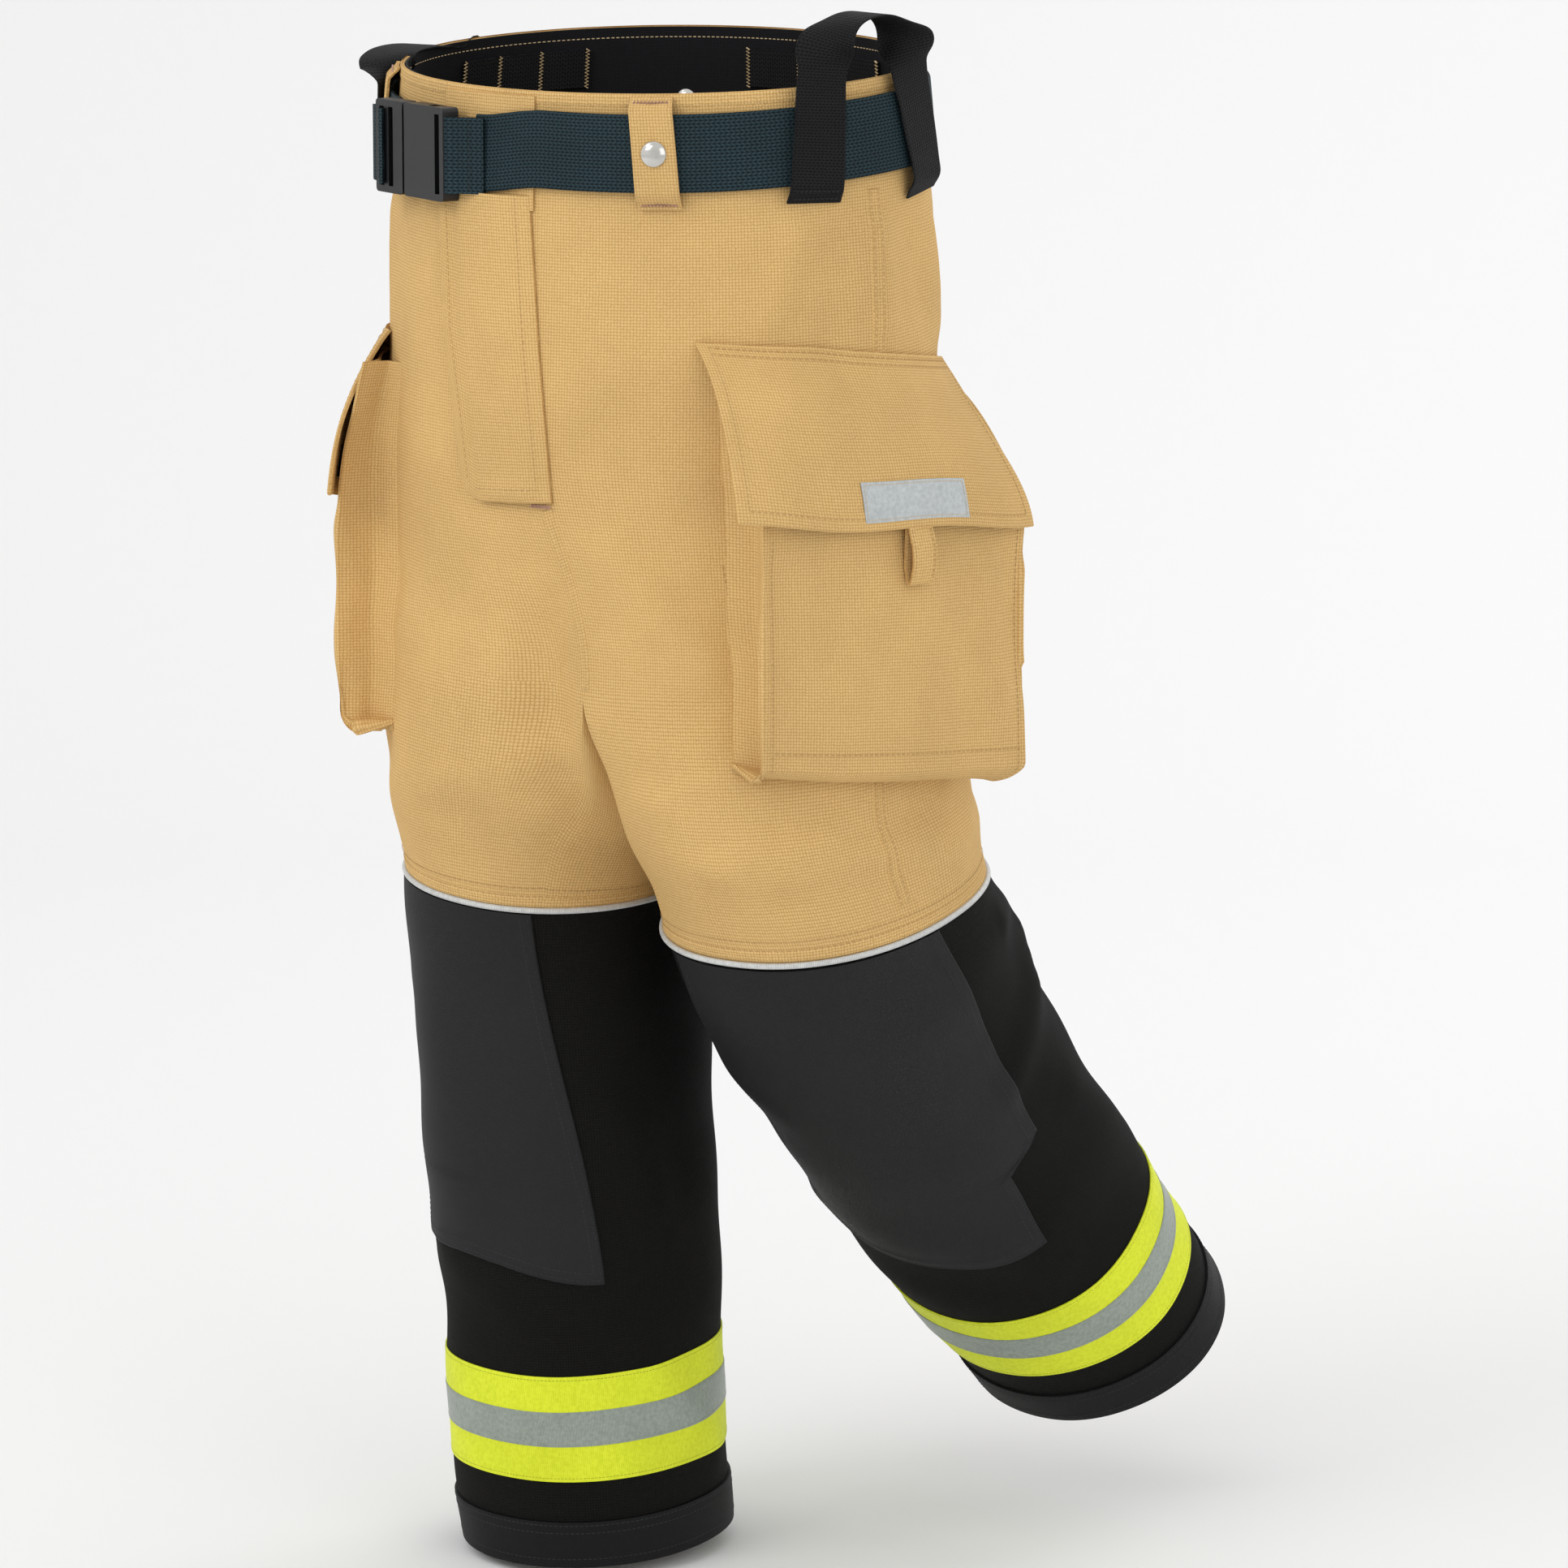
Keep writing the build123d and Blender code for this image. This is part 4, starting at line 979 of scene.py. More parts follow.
def buckle_point(x, y, z):
    """Point in the buckle's own axes: along the belt, up and outward."""
    x, y, z = np.broadcast_arrays(np.asarray(x, float), y, z)
    return cross["origin"] + x[..., None] * cross["x"] + y[..., None] * (0, 0, 1.0) + z[...,
        None] * cross["z"]


def ribbon(line, half, thickness, material=0, flip=False):
    """Webbing strip across the buckle's axes: line is its section as x and z."""
    line = np.array(line, float)
    run = np.concatenate([[0], np.cumsum(np.linalg.norm(np.diff(line, axis=0), axis=1))])
    fine = np.linspace(0, run[-1], max(8, int(run[-1] / 1.5)))
    line = spline(run, line, fine)
    tangent = unit(np.gradient(line, axis=0))
    away = np.stack([-tangent[:, 1], tangent[:, 0]], -1)
    y = half - edge_spaced(2 * half, 6.0, (0, 0.8, 2.0, 4.0))
    outer = buckle_point((line + away * thickness)[None, :, 0], y[:, None],
                         (line + away * thickness)[None, :, 1])
    inner = buckle_point(line[None, :, 0], y[:, None], line[None, :, 1])
    return slab(outer, inner, fine, half - y, material, False, flip)


joint, _ = belt_at(np.array([BELT_START]), np.array([BELT_WIDTH / 2]), BELT_LIFT)
join = ((joint[0] - cross["origin"]) @ cross["x"], (joint[0] - cross["origin"]) @ cross["z"])
belt_parts.append(ribbon([(35.5, 4.6), (39, 6.2), (43, 9.2), (46.5, 7.4), (51, 1.6),
                          (join[0] + 10, join[1] + 0.4)], 25.2, 2.0))
belt = piece("belt", belt_parts, [BELT_WEB])
ride(belt, "root", "belt_teal", "belt_webbing")
folds = []
for x in (51.0, 56.5):
    y = np.linspace(-24, 24, 60)
    height = np.interp(x, (51, join[0] + 10), (3.9, join[1] + 2.6))
    points = buckle_point(x + 0 * y, y, height + 0 * y)
    folds.append(stitches(points, np.broadcast_to(cross["z"], points.shape).copy(), 3.2, 2.4, 1.0, 0.7))
ride(piece("belt_fold_stitching", folds, [THREAD_BLACK]), "root", "belt_teal")
tail = [ribbon([(-62.5, -1.5), (-58, 1.0), (-52, 2.4), (-47.5, 4.6), (-41, 9.4), (-37.5, 12.8),
                (-33.5, 12.6)], 25.2, 2.0),
        ribbon([(-64, 2.0), (-58, 4.2), (-51, 5.2), (-46.6, 5.6)], 25.2, 2.0)]
ride(piece("belt_tail_fold", tail, [BELT_WEB]), "buckle_male", "belt_teal", "belt_tail")


# ---------------------------------------------------------------- belt loops
LOOP_TOP, LOOP_BOTTOM, LOOP_WIDE = 1.5, 74.0, 28.0


def mm_per_degree(angle):
    a = np.radians(angle)
    return np.hypot(WAIST_RX * np.cos(a), WAIST_RY * np.sin(a)) * np.pi / 180


def over_belt(down, start, end, low, high):
    """Lift of a strap that is sewn at both ends and passes over the belt."""
    return low + (high - low) * smooth((down - start) / 9) * smooth((end - down) / 10)


def loop_place(angle, lean=0.0):
    def place(across, down, lift):
        turn = angle + (across + lean * (down / LOOP_BOTTOM - 0.5)) / mm_per_degree(angle)
        return drop_at(turn, down, lift + over_belt(down, LOOP_TOP, LOOP_BOTTOM, 1.2, 7.4))
    return place


def loop_rise(a, d):
    edge = LOOP_WIDE / 2 - np.abs(a)
    return hem_height(edge, 0.6, (3.0,)) - 0.6 * smooth((edge - 4) / 3) + 0.3


def belt_loop(angle, lean):
    place = loop_place(angle, lean)
    across = edge_spaced(LOOP_WIDE, 4.0, (0, 0.6, 1.4, 3, 4.4, 6)) - LOOP_WIDE / 2
    down = LOOP_TOP + edge_spaced(LOOP_BOTTOM - LOOP_TOP, 3.0, (0, 0.6, 1.6, 3, 5))
    cloth = strip_on(place, across, down, 0.0, 1.9, rise=loop_rise)
    lines = [stitches(*path_on(place, (a, a), (LOOP_TOP + 1, LOOP_BOTTOM - 1), 2.1, 80), 3.6, 2.6, 0.8,
                      0.45) for a in (-11, 11)]
    for down in (LOOP_TOP + 3.5, LOOP_BOTTOM - 3.0):
        points, normals = place(np.array([-1.0, 0, 1.0]), np.full(3, down), 2.3)
        lines.append(bartack(points[1], normals[1], unit(points[2] - points[0]), LOOP_WIDE - 4, 2.0, 1))
    return cloth, lines


SNAP_LOOPS = {"left": (25.5, 5.0), "right": (-63.0, -3.0)}
for label, (angle, lean) in SNAP_LOOPS.items():
    cloth, lines = belt_loop(angle, lean)
    body = label + "_snap_loop"
    ride(piece(f"belt_loop_{label}", [cloth], [CANVAS]), body, "canvas_tan", f"snap_loop_{label}")
    ride(piece(f"belt_loop_stitching_{label}", lines, [THREAD_TAN, THREAD_PINK]), body, "canvas_tan")
    points, normals = loop_place(angle, lean)(np.zeros(1), np.full(1, 38.0), 2.4)
    cap = dome(points[0], normals[0], CAP_PROFILE)
    ride(piece(f"snap_dome_{label}", [cap], [CHROME]), body, "snap_chrome", f"snap_cap_{label}")
rear = [belt_loop(angle, 0.0) for angle in (180.0, 138.0, -138.0)]
ride(piece("rear_loops", [cloth for cloth, _ in rear], [CANVAS]), "root", "canvas_tan", "rear_belt_loops")
ride(piece("rear_loop_stitching", [x for _, lines in rear for x in lines], [THREAD_TAN, THREAD_PINK]),
     "root", "canvas_tan")

# ---------------------------------------------------------------- donning loops
DONNING_WIDTH = 38.0


def donning_band(front, back, leans, top, rise, bulge):
    """Centre line, width direction and running length of a webbing loop from one leg over the arch to the
    other.
    """
    legs_down = np.linspace(-76, top, 50)
    spots, wide = [], []
    for angle, lean, order in ((front, leans[0], 1), (back, leans[1], -1)):
        turn = angle + lean * (top - legs_down) / 90
        drop = waist_height(turn) - legs_down
        lift = over_belt(drop, -400, 76 + waist_height(angle), 1.4, 8.6)
        flat, normal = trunk_at(turn, np.minimum(legs_down, waist_height(turn) - 1), 0.0)
        flat[:, 2] = legs_down
        normal = unit(normal * (1, 1, 0))
        tangent = unit(np.cross(normal, (0, 0, -1.0)))
        spots.append((flat + normal * (lift + 0.9)[:, None])[::order])
        wide.append((tangent, normal, order))
    start, end = spots[0][-1], spots[1][0]
    angle = np.linspace(0, np.pi, 60)[1:-1]
    arch = start + (end - start) * ((1 - np.cos(angle)) / 2)[:, None]
    arch[:, 2] += rise * np.sin(angle)
    outward = unit(np.cross(end - start, (0, 0, 1.0)) * np.sign(front))
    arch += outward * (bulge * np.sin(angle))[:, None]
    line = np.concatenate([spots[0], arch, spots[1]])
    run = np.concatenate([[0], np.cumsum(np.linalg.norm(np.diff(line, axis=0), axis=1))])
    at = np.arange(0, run[-1], 2.0)
    line = np.stack([np.interp(at, run, line[:, k]) for k in range(3)], -1)
    for _ in range(8):
        line[1:-1] = (line[:-2] + 2 * line[1:-1] + line[2:]) / 4
    half = at / run[-1]
    tangent = wide[0][0][-1] * (1 - half)[:, None] + wide[1][0][0] * half[:, None]
    along = unit(np.gradient(line, axis=0))
    twist = np.radians(90) * smooth((line[:, 2] - top + 10) / (rise + 8))
    side = unit(tangent - along * (tangent * along).sum(-1, keepdims=True))
    across = unit(side * np.cos(twist)[:, None] + outward * np.sin(twist)[:, None])
    across = unit(across - along * (across * along).sum(-1, keepdims=True))
    return line, across, at


for side, label, turned_to in (
        (1, "left", (62.5, 89.0, (-3.0, 7.0), 17.0, 28.0, 0.0)),
        (-1, "right", (-70.0, -106.0, (0.0, 0.0), -6.0, 10.0, 13.0))):
    line, across, at = donning_band(*turned_to)
    face = np.cross(np.gradient(line, axis=0), across)
    face = unit(face) * (1 if (face[2] * (line[2] * (1, 1, 0))).sum() > 0 else -1)
    w = edge_spaced(DONNING_WIDTH, 5.0, (0, 0.7, 1.6, 3.0)) - DONNING_WIDTH / 2
    points = line[None] + across[None] * w[:, None, None]
    thin = 0.8 - 0.35 * np.exp(-((DONNING_WIDTH / 2 - np.abs(w)) / 0.8) ** 2)
    outer, inner = points + face * thin[:, None, None], points - face * thin[:, None, None]
    band = piece(f"donning_loop_{label}", [slab(outer, inner, at, w + DONNING_WIDTH / 2, 0)], [BLACK_WEB])
    middle = (line[0] + line[-1]) / 2
    low, high = (13, 27) if side > 0 else (-7, 0)
    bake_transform(band)
    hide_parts(f"donning_legs_{label}", f"donning_arch_{label}")
    rows = []
    for k in (2, 5, -3, -6):
        spread = line[k] + across[k] * np.linspace(-16, 16, 30)[:, None] + face[k] * 1.0
        rows.append(stitches(spread, np.broadcast_to(face[k], spread.shape).copy(), 3.0, 2.2, 0.9, 0.6))
    ride(piece(f"donning_stitching_{label}", rows, [THREAD_BLACK]), "root", "webbing_black")

# ---------------------------------------------------------------- fly
FLY_TOP, FLY_HEIGHT, FLY_WIDTH, FLY_RADIUS = -76.0, 205.0, 80.0, 22.0


def front_at(x, z, lift=0.0):
    """Point on the front of the trunk at a sideways position and a height."""
    x, z = np.broadcast_arrays(np.asarray(x, float), z)
    across = x - FORK_SHIFT * smooth((-z - 240) / 150) * np.exp(-(x / 95) ** 2)
    rx = WAIST_RX + HIP_SWELL * (1 - np.exp(z / SWELL_HEIGHT))
    return trunk_at(np.degrees(np.arcsin(across / rx)), z, lift)


def fly_at(s, t, lift):
    """The flap over the zipper: s from its free edge to its seam, t downward."""
    corner = FLY_RADIUS - np.sqrt(FLY_RADIUS**2 - np.maximum(FLY_RADIUS - s * FLY_WIDTH, 0) ** 2)
    z = FLY_TOP + (4 * s + corner - FLY_HEIGHT) * t
    free = np.interp(z, (-262, -166, -84), (-62, -81, -87))
    seam = np.interp(z, (-277, -176, -77), (14, 2, -7))
    from_seam = (1 - s) * FLY_WIDTH
    rise = 0.5 + 5.8 * smooth(from_seam / 20) - 3.5 * smooth((from_seam - 57) / 9)
    return front_at(free + (seam - free) * s, z, lift + rise * (1 - 0.45 * smooth((-z - 271) / 9)))


def fly_rise(s, t):
    d = np.minimum(np.minimum(s, 1 - s) * FLY_WIDTH, (1 - t) * FLY_HEIGHT)
    return hem_height(d, 0.8, (8.0,))


def fly_blend(obj, slot, *nodes):
    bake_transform(obj)
    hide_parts(*nodes)
    return obj


s, t = edge_spaced(FLY_WIDTH, 4.0) / FLY_WIDTH, edge_spaced(FLY_HEIGHT, 4.0) / FLY_HEIGHT
fly = piece("fly_cover", [strip_on(fly_at, s, t, 0.0, 1.9, rise=fly_rise)], [CANVAS])
fly_blend(fly, "canvas_tan", "fly_flap")
hook = strip_on(fly_at, np.linspace(0.03, 0.21, 8), np.linspace(0.03, 0.93, 50), -1.25, 1.1)
fly_blend(piece("fly_hook_strip", [hook], [TAPE]), "tape_black", "fly_hook_tape")


def under_fly_at(s, t, lift):
    z = -90 - 172 * t
    free = np.interp(z, (-262, -166, -84), (-62, -81, -87))
    return front_at(free + 80 * s, z, lift)


loop = strip_on(under_fly_at, np.linspace(0.03, 0.21, 8), np.linspace(0, 1, 50), 0.1, 1.0)
ride(piece("fly_loop_strip", [loop], [TAPE]), "root", "tape_black", "fly_loop_tape")
rows = []
for a, b in (((0.1, 0.0), (0.1, 0.955)), ((0.1, 0.955), (0.965, 0.955)), ((0.965, 0.0), (0.965, 0.955)),
             ((0.88, 0.0), (0.88, 0.93))):
    rows.append(stitches(*path_on(fly_at, (a[0], b[0]), (a[1], b[1]), 2.3, 120)))
fly_blend(piece("fly_stitching", rows, [THREAD_TAN]), "canvas_tan")
placket_x = edge_spaced(81.0, 6.0, (0, 0.6, 1.5, 3)) - 85


def placket_at(x, drop, lift):
    return front_at(x, waist_height(0) - drop, lift + 0.1)


placket = strip_on(placket_at, placket_x, np.linspace(3, 78, 20), 0.3, 1.6)
ride(piece("fly_top", [placket], [CANVAS]), "root", "canvas_tan", "fly_placket")
points, normals = front_at(np.array([5.0, 6.0, 7.0]), np.full(3, -279.5), 2.6)
tack = bartack(points[1], normals[1], unit(points[2] - points[0]), 16.0, 1.8)
ride(piece("fly_bartacks", [tack], [THREAD_PINK]), "root", "canvas_tan")

# ---------------------------------------------------------------- side pockets
# Both are made on the left, in distances outward and along towards the back, and one is mirrored
OUT, ALONG = np.array([0.9563, -0.2924, 0.0]), np.array([0.2924, 0.9563, 0.0])
POCKET_TOP, POCKET_FACE, POCKET_CROWN, CORNER = -199.0, 206.0, 17.0, 11.0
POCKET_START, POCKET_END, WALL_START, WALL_END = -84.0, 146.0, -75.0, 102.0
FLAP_WIDTH, FLAP_LENGTH = 245.0, 122.0
HEM = np.array((0, 0.5, 1.2, 2.2, 3.4, 5, 6.6, 8.2, 10))
flap_f, flap_t = edge_spaced(1.0, 0.012, HEM / FLAP_WIDTH), edge_spaced(1.0, 0.03, HEM / FLAP_LENGTH)


def pocket_point(out, along, z):
    out, along, z = np.broadcast_arrays(np.asarray(out, float), along, z)
    return out[..., None] * OUT + along[..., None] * ALONG + z[..., None] * np.array([0, 0, 1.0])


def outness(cloud, along, z, size=60.0):
    """How far out a surface lies at places along it; far outside the surface where it doesn't reach."""
    along, z = np.broadcast_arrays(np.asarray(along, float), z)
    near = np.exp(-((along[..., None] - cloud @ ALONG) ** 2 + (z[..., None] - cloud[:, 2]) ** 2) / size)
    total = near.sum(-1)
    return np.where(total > 1e-3, (near * (cloud @ OUT)).sum(-1) / np.maximum(total, 1e-9), 999.0)


def mirrored(part):
    points, quads, uv, material = part
    return points * (-1, 1, 1), quads[:, ::-1], uv[:, ::-1], material


def blur(grid, times):
    for _ in range(times):
        grid[1:-1] = (grid[:-2] + 2 * grid[1:-1] + grid[2:]) / 4
    return grid


def flap_skin(side, shift, drop):
    """Inner face of a flap: sewn to the shell along its top edge, lying over the pocket."""
    f, q = flap_f, flap_t[:, None, None]
    angle = np.interp(f, (0, 0.36, 1), (33, 58, 114)) + shift * 1.1
    top = trunk_at(side * angle, np.interp(f, (0, 0.36, 1), (-168, -172, -191)) - drop, 0.8)[0] * (side, 1, 1)
    low_out = 210 - shift * 0.3 - 1 * f + 84 * f * (1 - f)
    low = pocket_point(low_out, -108 + 255 * f + shift, -278.5 - 22 * f - drop * 0.8 + 2.0 * np.cos(f * 10))
    handle_top = top + (OUT * 0.66 - (0, 0, 0.75)) * 40
    handle_low = low + unit(OUT * -0.12 + (0, 0, 1.0)) * 42
    grid = (1 - q) ** 3 * top + 3 * (1 - q) ** 2 * q * handle_top \
        + 3 * (1 - q) * q * q * handle_low + q**3 * low
    flap = Skin(grid, False)
    before = flap.points.copy()
    wrinkle(flap.points, flap.normals, 1.7, 120, 77 + side)
    for start, end, height, width in (
            ((0.08, 0.25), (0.5, 0.5), 1.8, 16), ((0.95, 0.2), (0.62, 0.55), -1.8, 16),
            ((0.3, 0.9), (0.28, 0.5), 1.4, 14)):
        a, b = (flap.at(np.interp(t, flap_t, np.arange(len(flap_t))),
                        np.interp(f, flap_f, np.arange(len(flap_f))))[0]
                for f, t in (start, end))
        fold(flap, a, b, height, width)
    flap.points = before + (flap.points - before) * (smooth(flap_t * 4) * 0.9)[:, None, None]
    flap.refresh()
    return flap


def pocket_skin(side, shift, flap):
    """Outer face of a bellows pocket, from the root of its front wall round to the root of its back wall."""
    cloud = np.concatenate([trunk.points.reshape(-1, 3), thighs[side].points.reshape(-1, 3)]) * (side, 1, 1)
    cloud = cloud[(cloud @ OUT > 105) & (cloud[:, 2] < -150)]
    wall = np.linspace(0, 1, 22)
    face = POCKET_START + edge_spaced(POCKET_END - POCKET_START, 4.0, (0, 1.2, 2.6, 4.2, 6, 8))
    ends = len(wall)
    profile = np.concatenate([
        WALL_START + (POCKET_START - WALL_START) * wall + 14 * (1 - np.abs(2 * wall - 1)), face[1:-1],
        POCKET_END + (WALL_END - POCKET_END) * wall - 5 * np.sin(np.pi * wall)])
    root_along = np.concatenate([np.full(ends, WALL_START), np.clip(face[1:-1], WALL_START, WALL_END),
                                 np.full(ends, WALL_END)])
    reach = np.concatenate([wall, np.ones(len(face) - 2), 1 - wall])
    crown = POCKET_CROWN * np.maximum(1 - ((profile - 31) / 115) ** 2, 0) * (reach == 1)
    bottom = -449 - 22 * (np.clip(profile, POCKET_START, POCKET_END) - POCKET_START) / (POCKET_END
        - POCKET_START)
    fall, curl, under = 64, 9, 12
    turn = np.concatenate([np.zeros(fall), np.linspace(0, 1, curl)[1:], np.ones(under)])[:, None] * np.pi / 2
    inward = np.concatenate([np.zeros(fall + curl - 1), np.linspace(0, 1, under + 1)[1:]])[:, None]
    lower = bottom + CORNER
    z = np.concatenate([POCKET_TOP + (lower - POCKET_TOP) * np.linspace(0, 1, fall)[:, None],
                        np.tile(lower, (curl + under - 1, 1))])
    z = z - CORNER * np.sin(turn) + 5 * inward
    root = outness(cloud, root_along + shift, z) - 1.0
    covered = np.minimum(profile, 104 + 0.33 * np.maximum(-191 - z, 0)) + shift
    ceiling = outness(flap.points.reshape(-1, 3), covered, z, 40.0) - 4.5
    proud = POCKET_FACE + shift * 0.2 + crown + 0 * z
    full = blur(np.minimum(proud, ceiling), 6)
    depth = np.maximum(full - root, 1.0)
    spread = np.clip(depth / (proud - root), 0.05, 1) ** 0.6
    k = np.clip((1 - CORNER * (1 - np.cos(turn)) / depth) * (1 - inward), 0, 1)
    grid = pocket_point(root + depth * reach * k, root_along + (profile - root_along) * k * spread + shift, z)
    for _ in range(2):
        grid[:, 1:-1] = (grid[:, :-2] + 2 * grid[:, 1:-1] + grid[:, 2:]) / 4
    pocket = Skin(grid, False)
    before = pocket.points.copy()
    wrinkle(pocket.points, pocket.normals, 2.2, 110, 41 + side)
    for start, end, height, width in (
            ((226, 5, -300), (222, -30, -440), 2.4, 18), ((224, 70, -310), (221, 92, -450), -2.6, 18),
            ((214, -70, -300), (212, -64, -420), -2.2, 12), ((220, 100, -300), (214, 128, -430), 2.4, 15)):
        fold(pocket, pocket_point(*start), pocket_point(*end), height, width)
    fade = smooth(reach * 3 - 2) * smooth((-z - 290) / 30) * (1 - inward)
    pocket.points = before + (pocket.points - before) * fade[..., None]
    pocket.refresh()
    front_ridge, back_ridge = (np.exp(-((profile - place) / 2.6) ** 2) * (reach > 0.97)
                               for place in (-82, 143))
    rim = np.exp(-((z - bottom - 7) / 2.4) ** 2) * (np.arange(len(z)) > 50)[:, None] * (reach > 0.9)
    rise = (1.3 * front_ridge + 1.0 * back_ridge + 0.9 * rim) * (1 - inward)
    pocket.points = pocket.points + pocket.normals * rise[..., None]
    pocket.refresh()
    columns = np.arange(len(profile))
    rows = [stitches(*pocket.at(np.linspace(24, 66, 150),
                                np.full(150, np.interp(place, profile[ends:-ends], columns[ends:-ends])),
                                0.2))
            for place in (-76.5, 138.0)]
    rows.append(stitches(*pocket.at(np.full(200, 61.0), np.linspace(ends + 4, len(columns) - ends - 4, 200),
                                    0.2)))
    return slab(pocket.points, pocket.points - pocket.normals * 1.9, pocket.u, pocket.v), rows


def flap_rise(a, d):
    edge = np.minimum(np.minimum(a, 1 - a) * FLAP_WIDTH, np.minimum(d * 4 + 0.02, 1 - d) * FLAP_LENGTH)
    return hem_height(edge, 0.8, (8.0,))


def tab_parts(shift, drop):
    """Webbing loop that hangs below the flap: its line in outward distance and height, then its cloth."""
    line = np.array([(229.6, -280), (231.5, -290), (235.5, -303), (235, -318), (231.4, -326),
                     (228.4, -320), (227.8, -303), (228.6, -288), (228.8, -281)], float)
    run = np.concatenate([[0], np.cumsum(np.linalg.norm(np.diff(line, axis=0), axis=1))])
    line = spline(run, line, np.linspace(0, run[-1], 60)) - (0, drop)
    ahead = unit(np.gradient(line, axis=0))
    away = np.stack([-ahead[:, 1], ahead[:, 0]], -1) * 0.8
    width = 21 + shift + edge_spaced(20.0, 4.0, (0, 0.6, 1.4, 2.6))
    layers = [pocket_point((line + k * away)[:, None, 0], width[None], (line + k * away)[:, None, 1])
              for k in (1, -1)]
    cloth = slab(*layers, lengths(layers[0], 1), lengths(layers[0], 0), flip=True)
    rows = [stitches(pocket_point(line[6:28, 0] + 1.0, w + shift, line[6:28, 1]), np.tile(OUT, (22, 1)),
                     3.4, 2.4, 0.8, 0.4)
            for w in (23.0, 39.0)]
    return cloth, rows


for side, label in SIDES.items():
    shift, drop = (0.0, 0.0) if side > 0 else (17.0, 12.0)
    turned = (lambda part: part) if side > 0 else mirrored
    flap = flap_skin(side, shift, drop)

    def flap_at(across, down, lift):
        """Point on the flap's inner face by fractions across and down."""
        rows, columns = np.arange(len(flap_t)), np.arange(len(flap_f))
        return flap.at(np.interp(down, flap_t, rows), np.interp(across, flap_f, columns), lift)

    pocket_cloth, pocket_rows = pocket_skin(side, shift, flap)
    ride(piece(f"cargo_pocket_{label}", [turned(pocket_cloth)], [CANVAS]), "root", "canvas_tan",
         f"pocket_{label}")
    ride(piece(f"pocket_stitching_{label}", [turned(p) for p in pocket_rows], [THREAD_TAN]), "root",
         "canvas_tan")
    low, near, far = 1 - 8.0 / FLAP_LENGTH, 8.0 / FLAP_WIDTH, 1 - 8.0 / FLAP_WIDTH
    flap_rows = [
        stitches(*path_on(flap_at, across, down, 2.4, 200))
        for across, down in (((near, near), (0.03, low)), ((near, far), (low, low)),
                             ((far, far), (low, 0.03)),
                             ((0.01, 0.99), (0.03, 0.03)), ((0.01, 0.99), (0.075, 0.075)))]
    flap_body, tab_body = f"{label}_pocket_flap", f"{label}_pull_tab"
    mirror = np.array([side, 1, 1])

    def hinge_blend(obj, parent, child, places, slot, *nodes):
        start, end = (tuple(pocket_point(o, along, z) * mirror * MM) for o, along, z in places)
        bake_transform(obj)
        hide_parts(*nodes)

    at_flap, at_tab = ((194, 25, -176), (206, 25, -200)), ((230, 31, -289 - drop), (230, 31, -299 - drop))
    cloth = strip_on(flap_at, flap_f, flap_t, 0.0, 2.0, rise=flap_rise)
    hinge_blend(piece(f"flap_cloth_{label}", [turned(cloth)], [CANVAS]), "root", flap_body, at_flap,
                "canvas_tan", f"pocket_flap_{label}")
    hinge_blend(piece(f"flap_stitching_{label}", [turned(p) for p in flap_rows], [THREAD_TAN]), "root",
                flap_body, at_flap, "canvas_tan")
    tape = strip_on(flap_at, np.linspace(0.14, 0.86, 40), np.linspace(0.72, 0.9, 8), -1.6, 1.3)
    ride(piece(f"flap_tape_{label}", [turned(tape)], [TAPE]), flap_body, "tape_black",
         f"flap_hook_tape_{label}")
    cloth, rows = tab_parts(shift, drop)
    hinge_blend(piece(f"tab_cloth_{label}", [turned(cloth)], [CANVAS]), flap_body, tab_body, at_tab,
                "canvas_tan", f"pull_tab_{label}")
    hinge_blend(piece(f"tab_stitching_{label}", [turned(p) for p in rows], [THREAD_TAN]), flap_body,
                tab_body, at_tab, "canvas_tan")
    if side > 0:
        left, right, top, base = 0.368, 0.712, 0.745, 0.955
        patch = strip_on(flap_at, np.linspace(left, right, 40), np.linspace(top, base, 14), 2.3, 0.6)
        ride(piece("blank_label", [patch], [LABEL]), flap_body, "label_silver", "label_patch")
        left, right, top, base = left + 0.008, right - 0.008, top + 0.015, base - 0.015
        corners = ((left, top), (right, top), (right, base), (left, base), (left, top))
        rows = [stitches(*path_on(flap_at, (a[0], b[0]), (a[1], b[1]), 3.0, 80), 2.4, 1.8, 0.5, 0.3)
                for a, b in zip(corners, corners[1:])]
        ride(piece("label_stitching", rows, [THREAD_CREAM]), flap_body, "label_silver")

# Row of stitches on the shell in front of the left pocket, with a tack at its lower end
z = np.linspace(-312, -400, 80)
ride(piece("pocket_guide_stitching", [stitches(*trunk_at(np.interp(z, (-400, -315), (42, 38)), z, 0.3))],
           [THREAD_TAN]), "root", "canvas_tan")
points, normals = trunk_at(np.array([41.6, 42.0]), np.array([-384.0, -396.0]), 0.5)
ride(piece("pocket_tack", [bartack(points[1], normals[1], unit(points[1] - points[0]), 16.0, 1.8)],
           [THREAD_PINK]), "root", "canvas_tan")

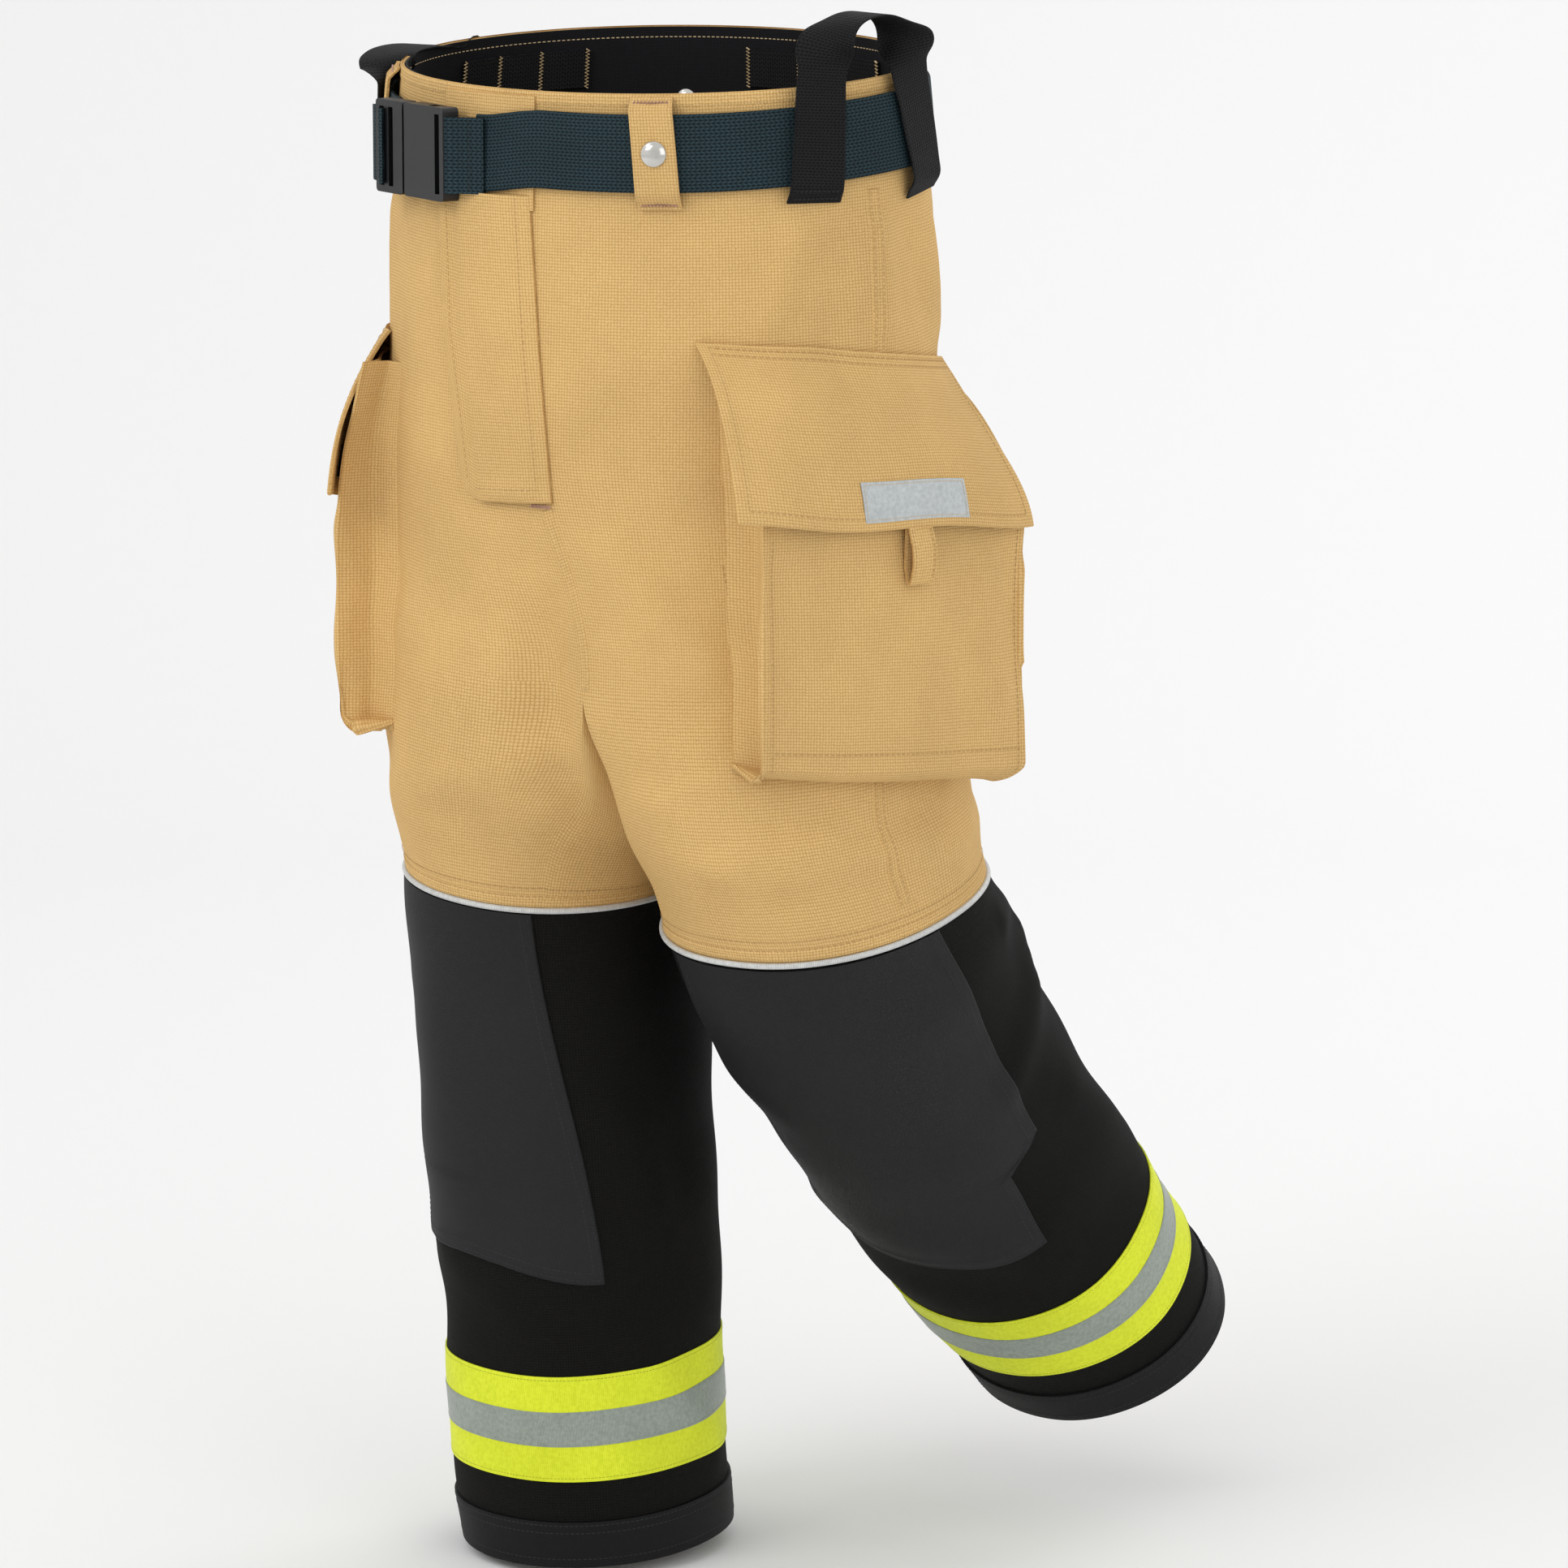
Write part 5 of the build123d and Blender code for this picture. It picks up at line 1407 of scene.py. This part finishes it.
# ---------------------------------------------------------------- floor, lights and camera
VIEW_AZIMUTH, DISTANCE, EYE_HEIGHT, AIM_HEIGHT, ASIDE = np.radians(33), 5.0, 0.430, -0.489, 0.083
right = Vector((np.cos(VIEW_AZIMUTH), np.sin(VIEW_AZIMUTH), 0))
camera = bpy.data.objects.new("camera", bpy.data.cameras.new("camera"))
camera.data.lens, camera.data.sensor_width = 171.4, 36
camera.location = Vector((np.sin(VIEW_AZIMUTH) * DISTANCE, -np.cos(VIEW_AZIMUTH) * DISTANCE,
                          EYE_HEIGHT)) + right * ASIDE
aim = Vector((0, 0, AIM_HEIGHT)) + right * ASIDE
camera.rotation_euler = (aim - camera.location).to_track_quat("-Z", "Y").to_euler()
bpy.context.scene.collection.objects.link(camera)
bpy.context.scene.camera = camera
bpy.context.scene.view_settings.view_transform = "Standard"

# Floor that curves up into a backdrop
FLOOR = plain("floor_pale", (236, 236, 236), 0.95)
floor_z, reach, rise = cad_box[0].z * 1000 - 6, 2600.0, 1500.0
bend = np.linspace(0, np.pi / 2, 25)
profile = [(-6000.0, 0.0), *[(reach + rise * np.sin(t), rise * (1 - np.cos(t))) for t in bend],
           (reach + rise, 9000.0)]
away, across = np.array([-right.y, right.x, 0]), np.array(right)
backdrop = np.array([[away * p + across * w + (0, 0, floor_z + q) for w in (-9000, 9000)] for p,
                     q in profile])
floor = piece("floor", [surface(backdrop, np.array([0, 1.0]), np.arange(len(profile) * 1.0), flip=True)],
              [FLOOR])

world = bpy.data.worlds.new("studio")
bpy.context.scene.world = world
world.use_nodes = True
world.node_tree.nodes["Background"].inputs["Color"].default_value = (1, 1, 1, 1)
world.node_tree.nodes["Background"].inputs["Strength"].default_value = 0.9


def area_light(name, place, target, size, power):
    lamp = bpy.data.objects.new(name, bpy.data.lights.new(name, "AREA"))
    lamp.data.size, lamp.data.energy = size, power
    lamp.location = place
    lamp.rotation_euler = (Vector(target) - Vector(place)).to_track_quat("-Z", "Y").to_euler()
    bpy.context.scene.collection.objects.link(lamp)


area_light("key", (-1.2, -3.2, 2.0), (0, 0, -0.4), 2.0, 42)
area_light("fill", (3.4, -1.6, 1.0), (0, 0, -0.4), 2.4, 16)
area_light("back", (0.5, 3.4, 2.2), (0, 0, -0.4), 2.5, 36)

# CAD nodes that keep their shape
for names, material in (
        (("buckle_female", "buckle_male", "buckle_prong_upper", "buckle_prong_lower"), PLASTIC),
        (("zipper_teeth", "zipper_slider", "zipper_pull"), BRASS),
        (("zipper_tape",), TAPE)):
    for name in names:
        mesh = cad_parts[name].data
        mesh.materials.clear()
        mesh.materials.append(material)
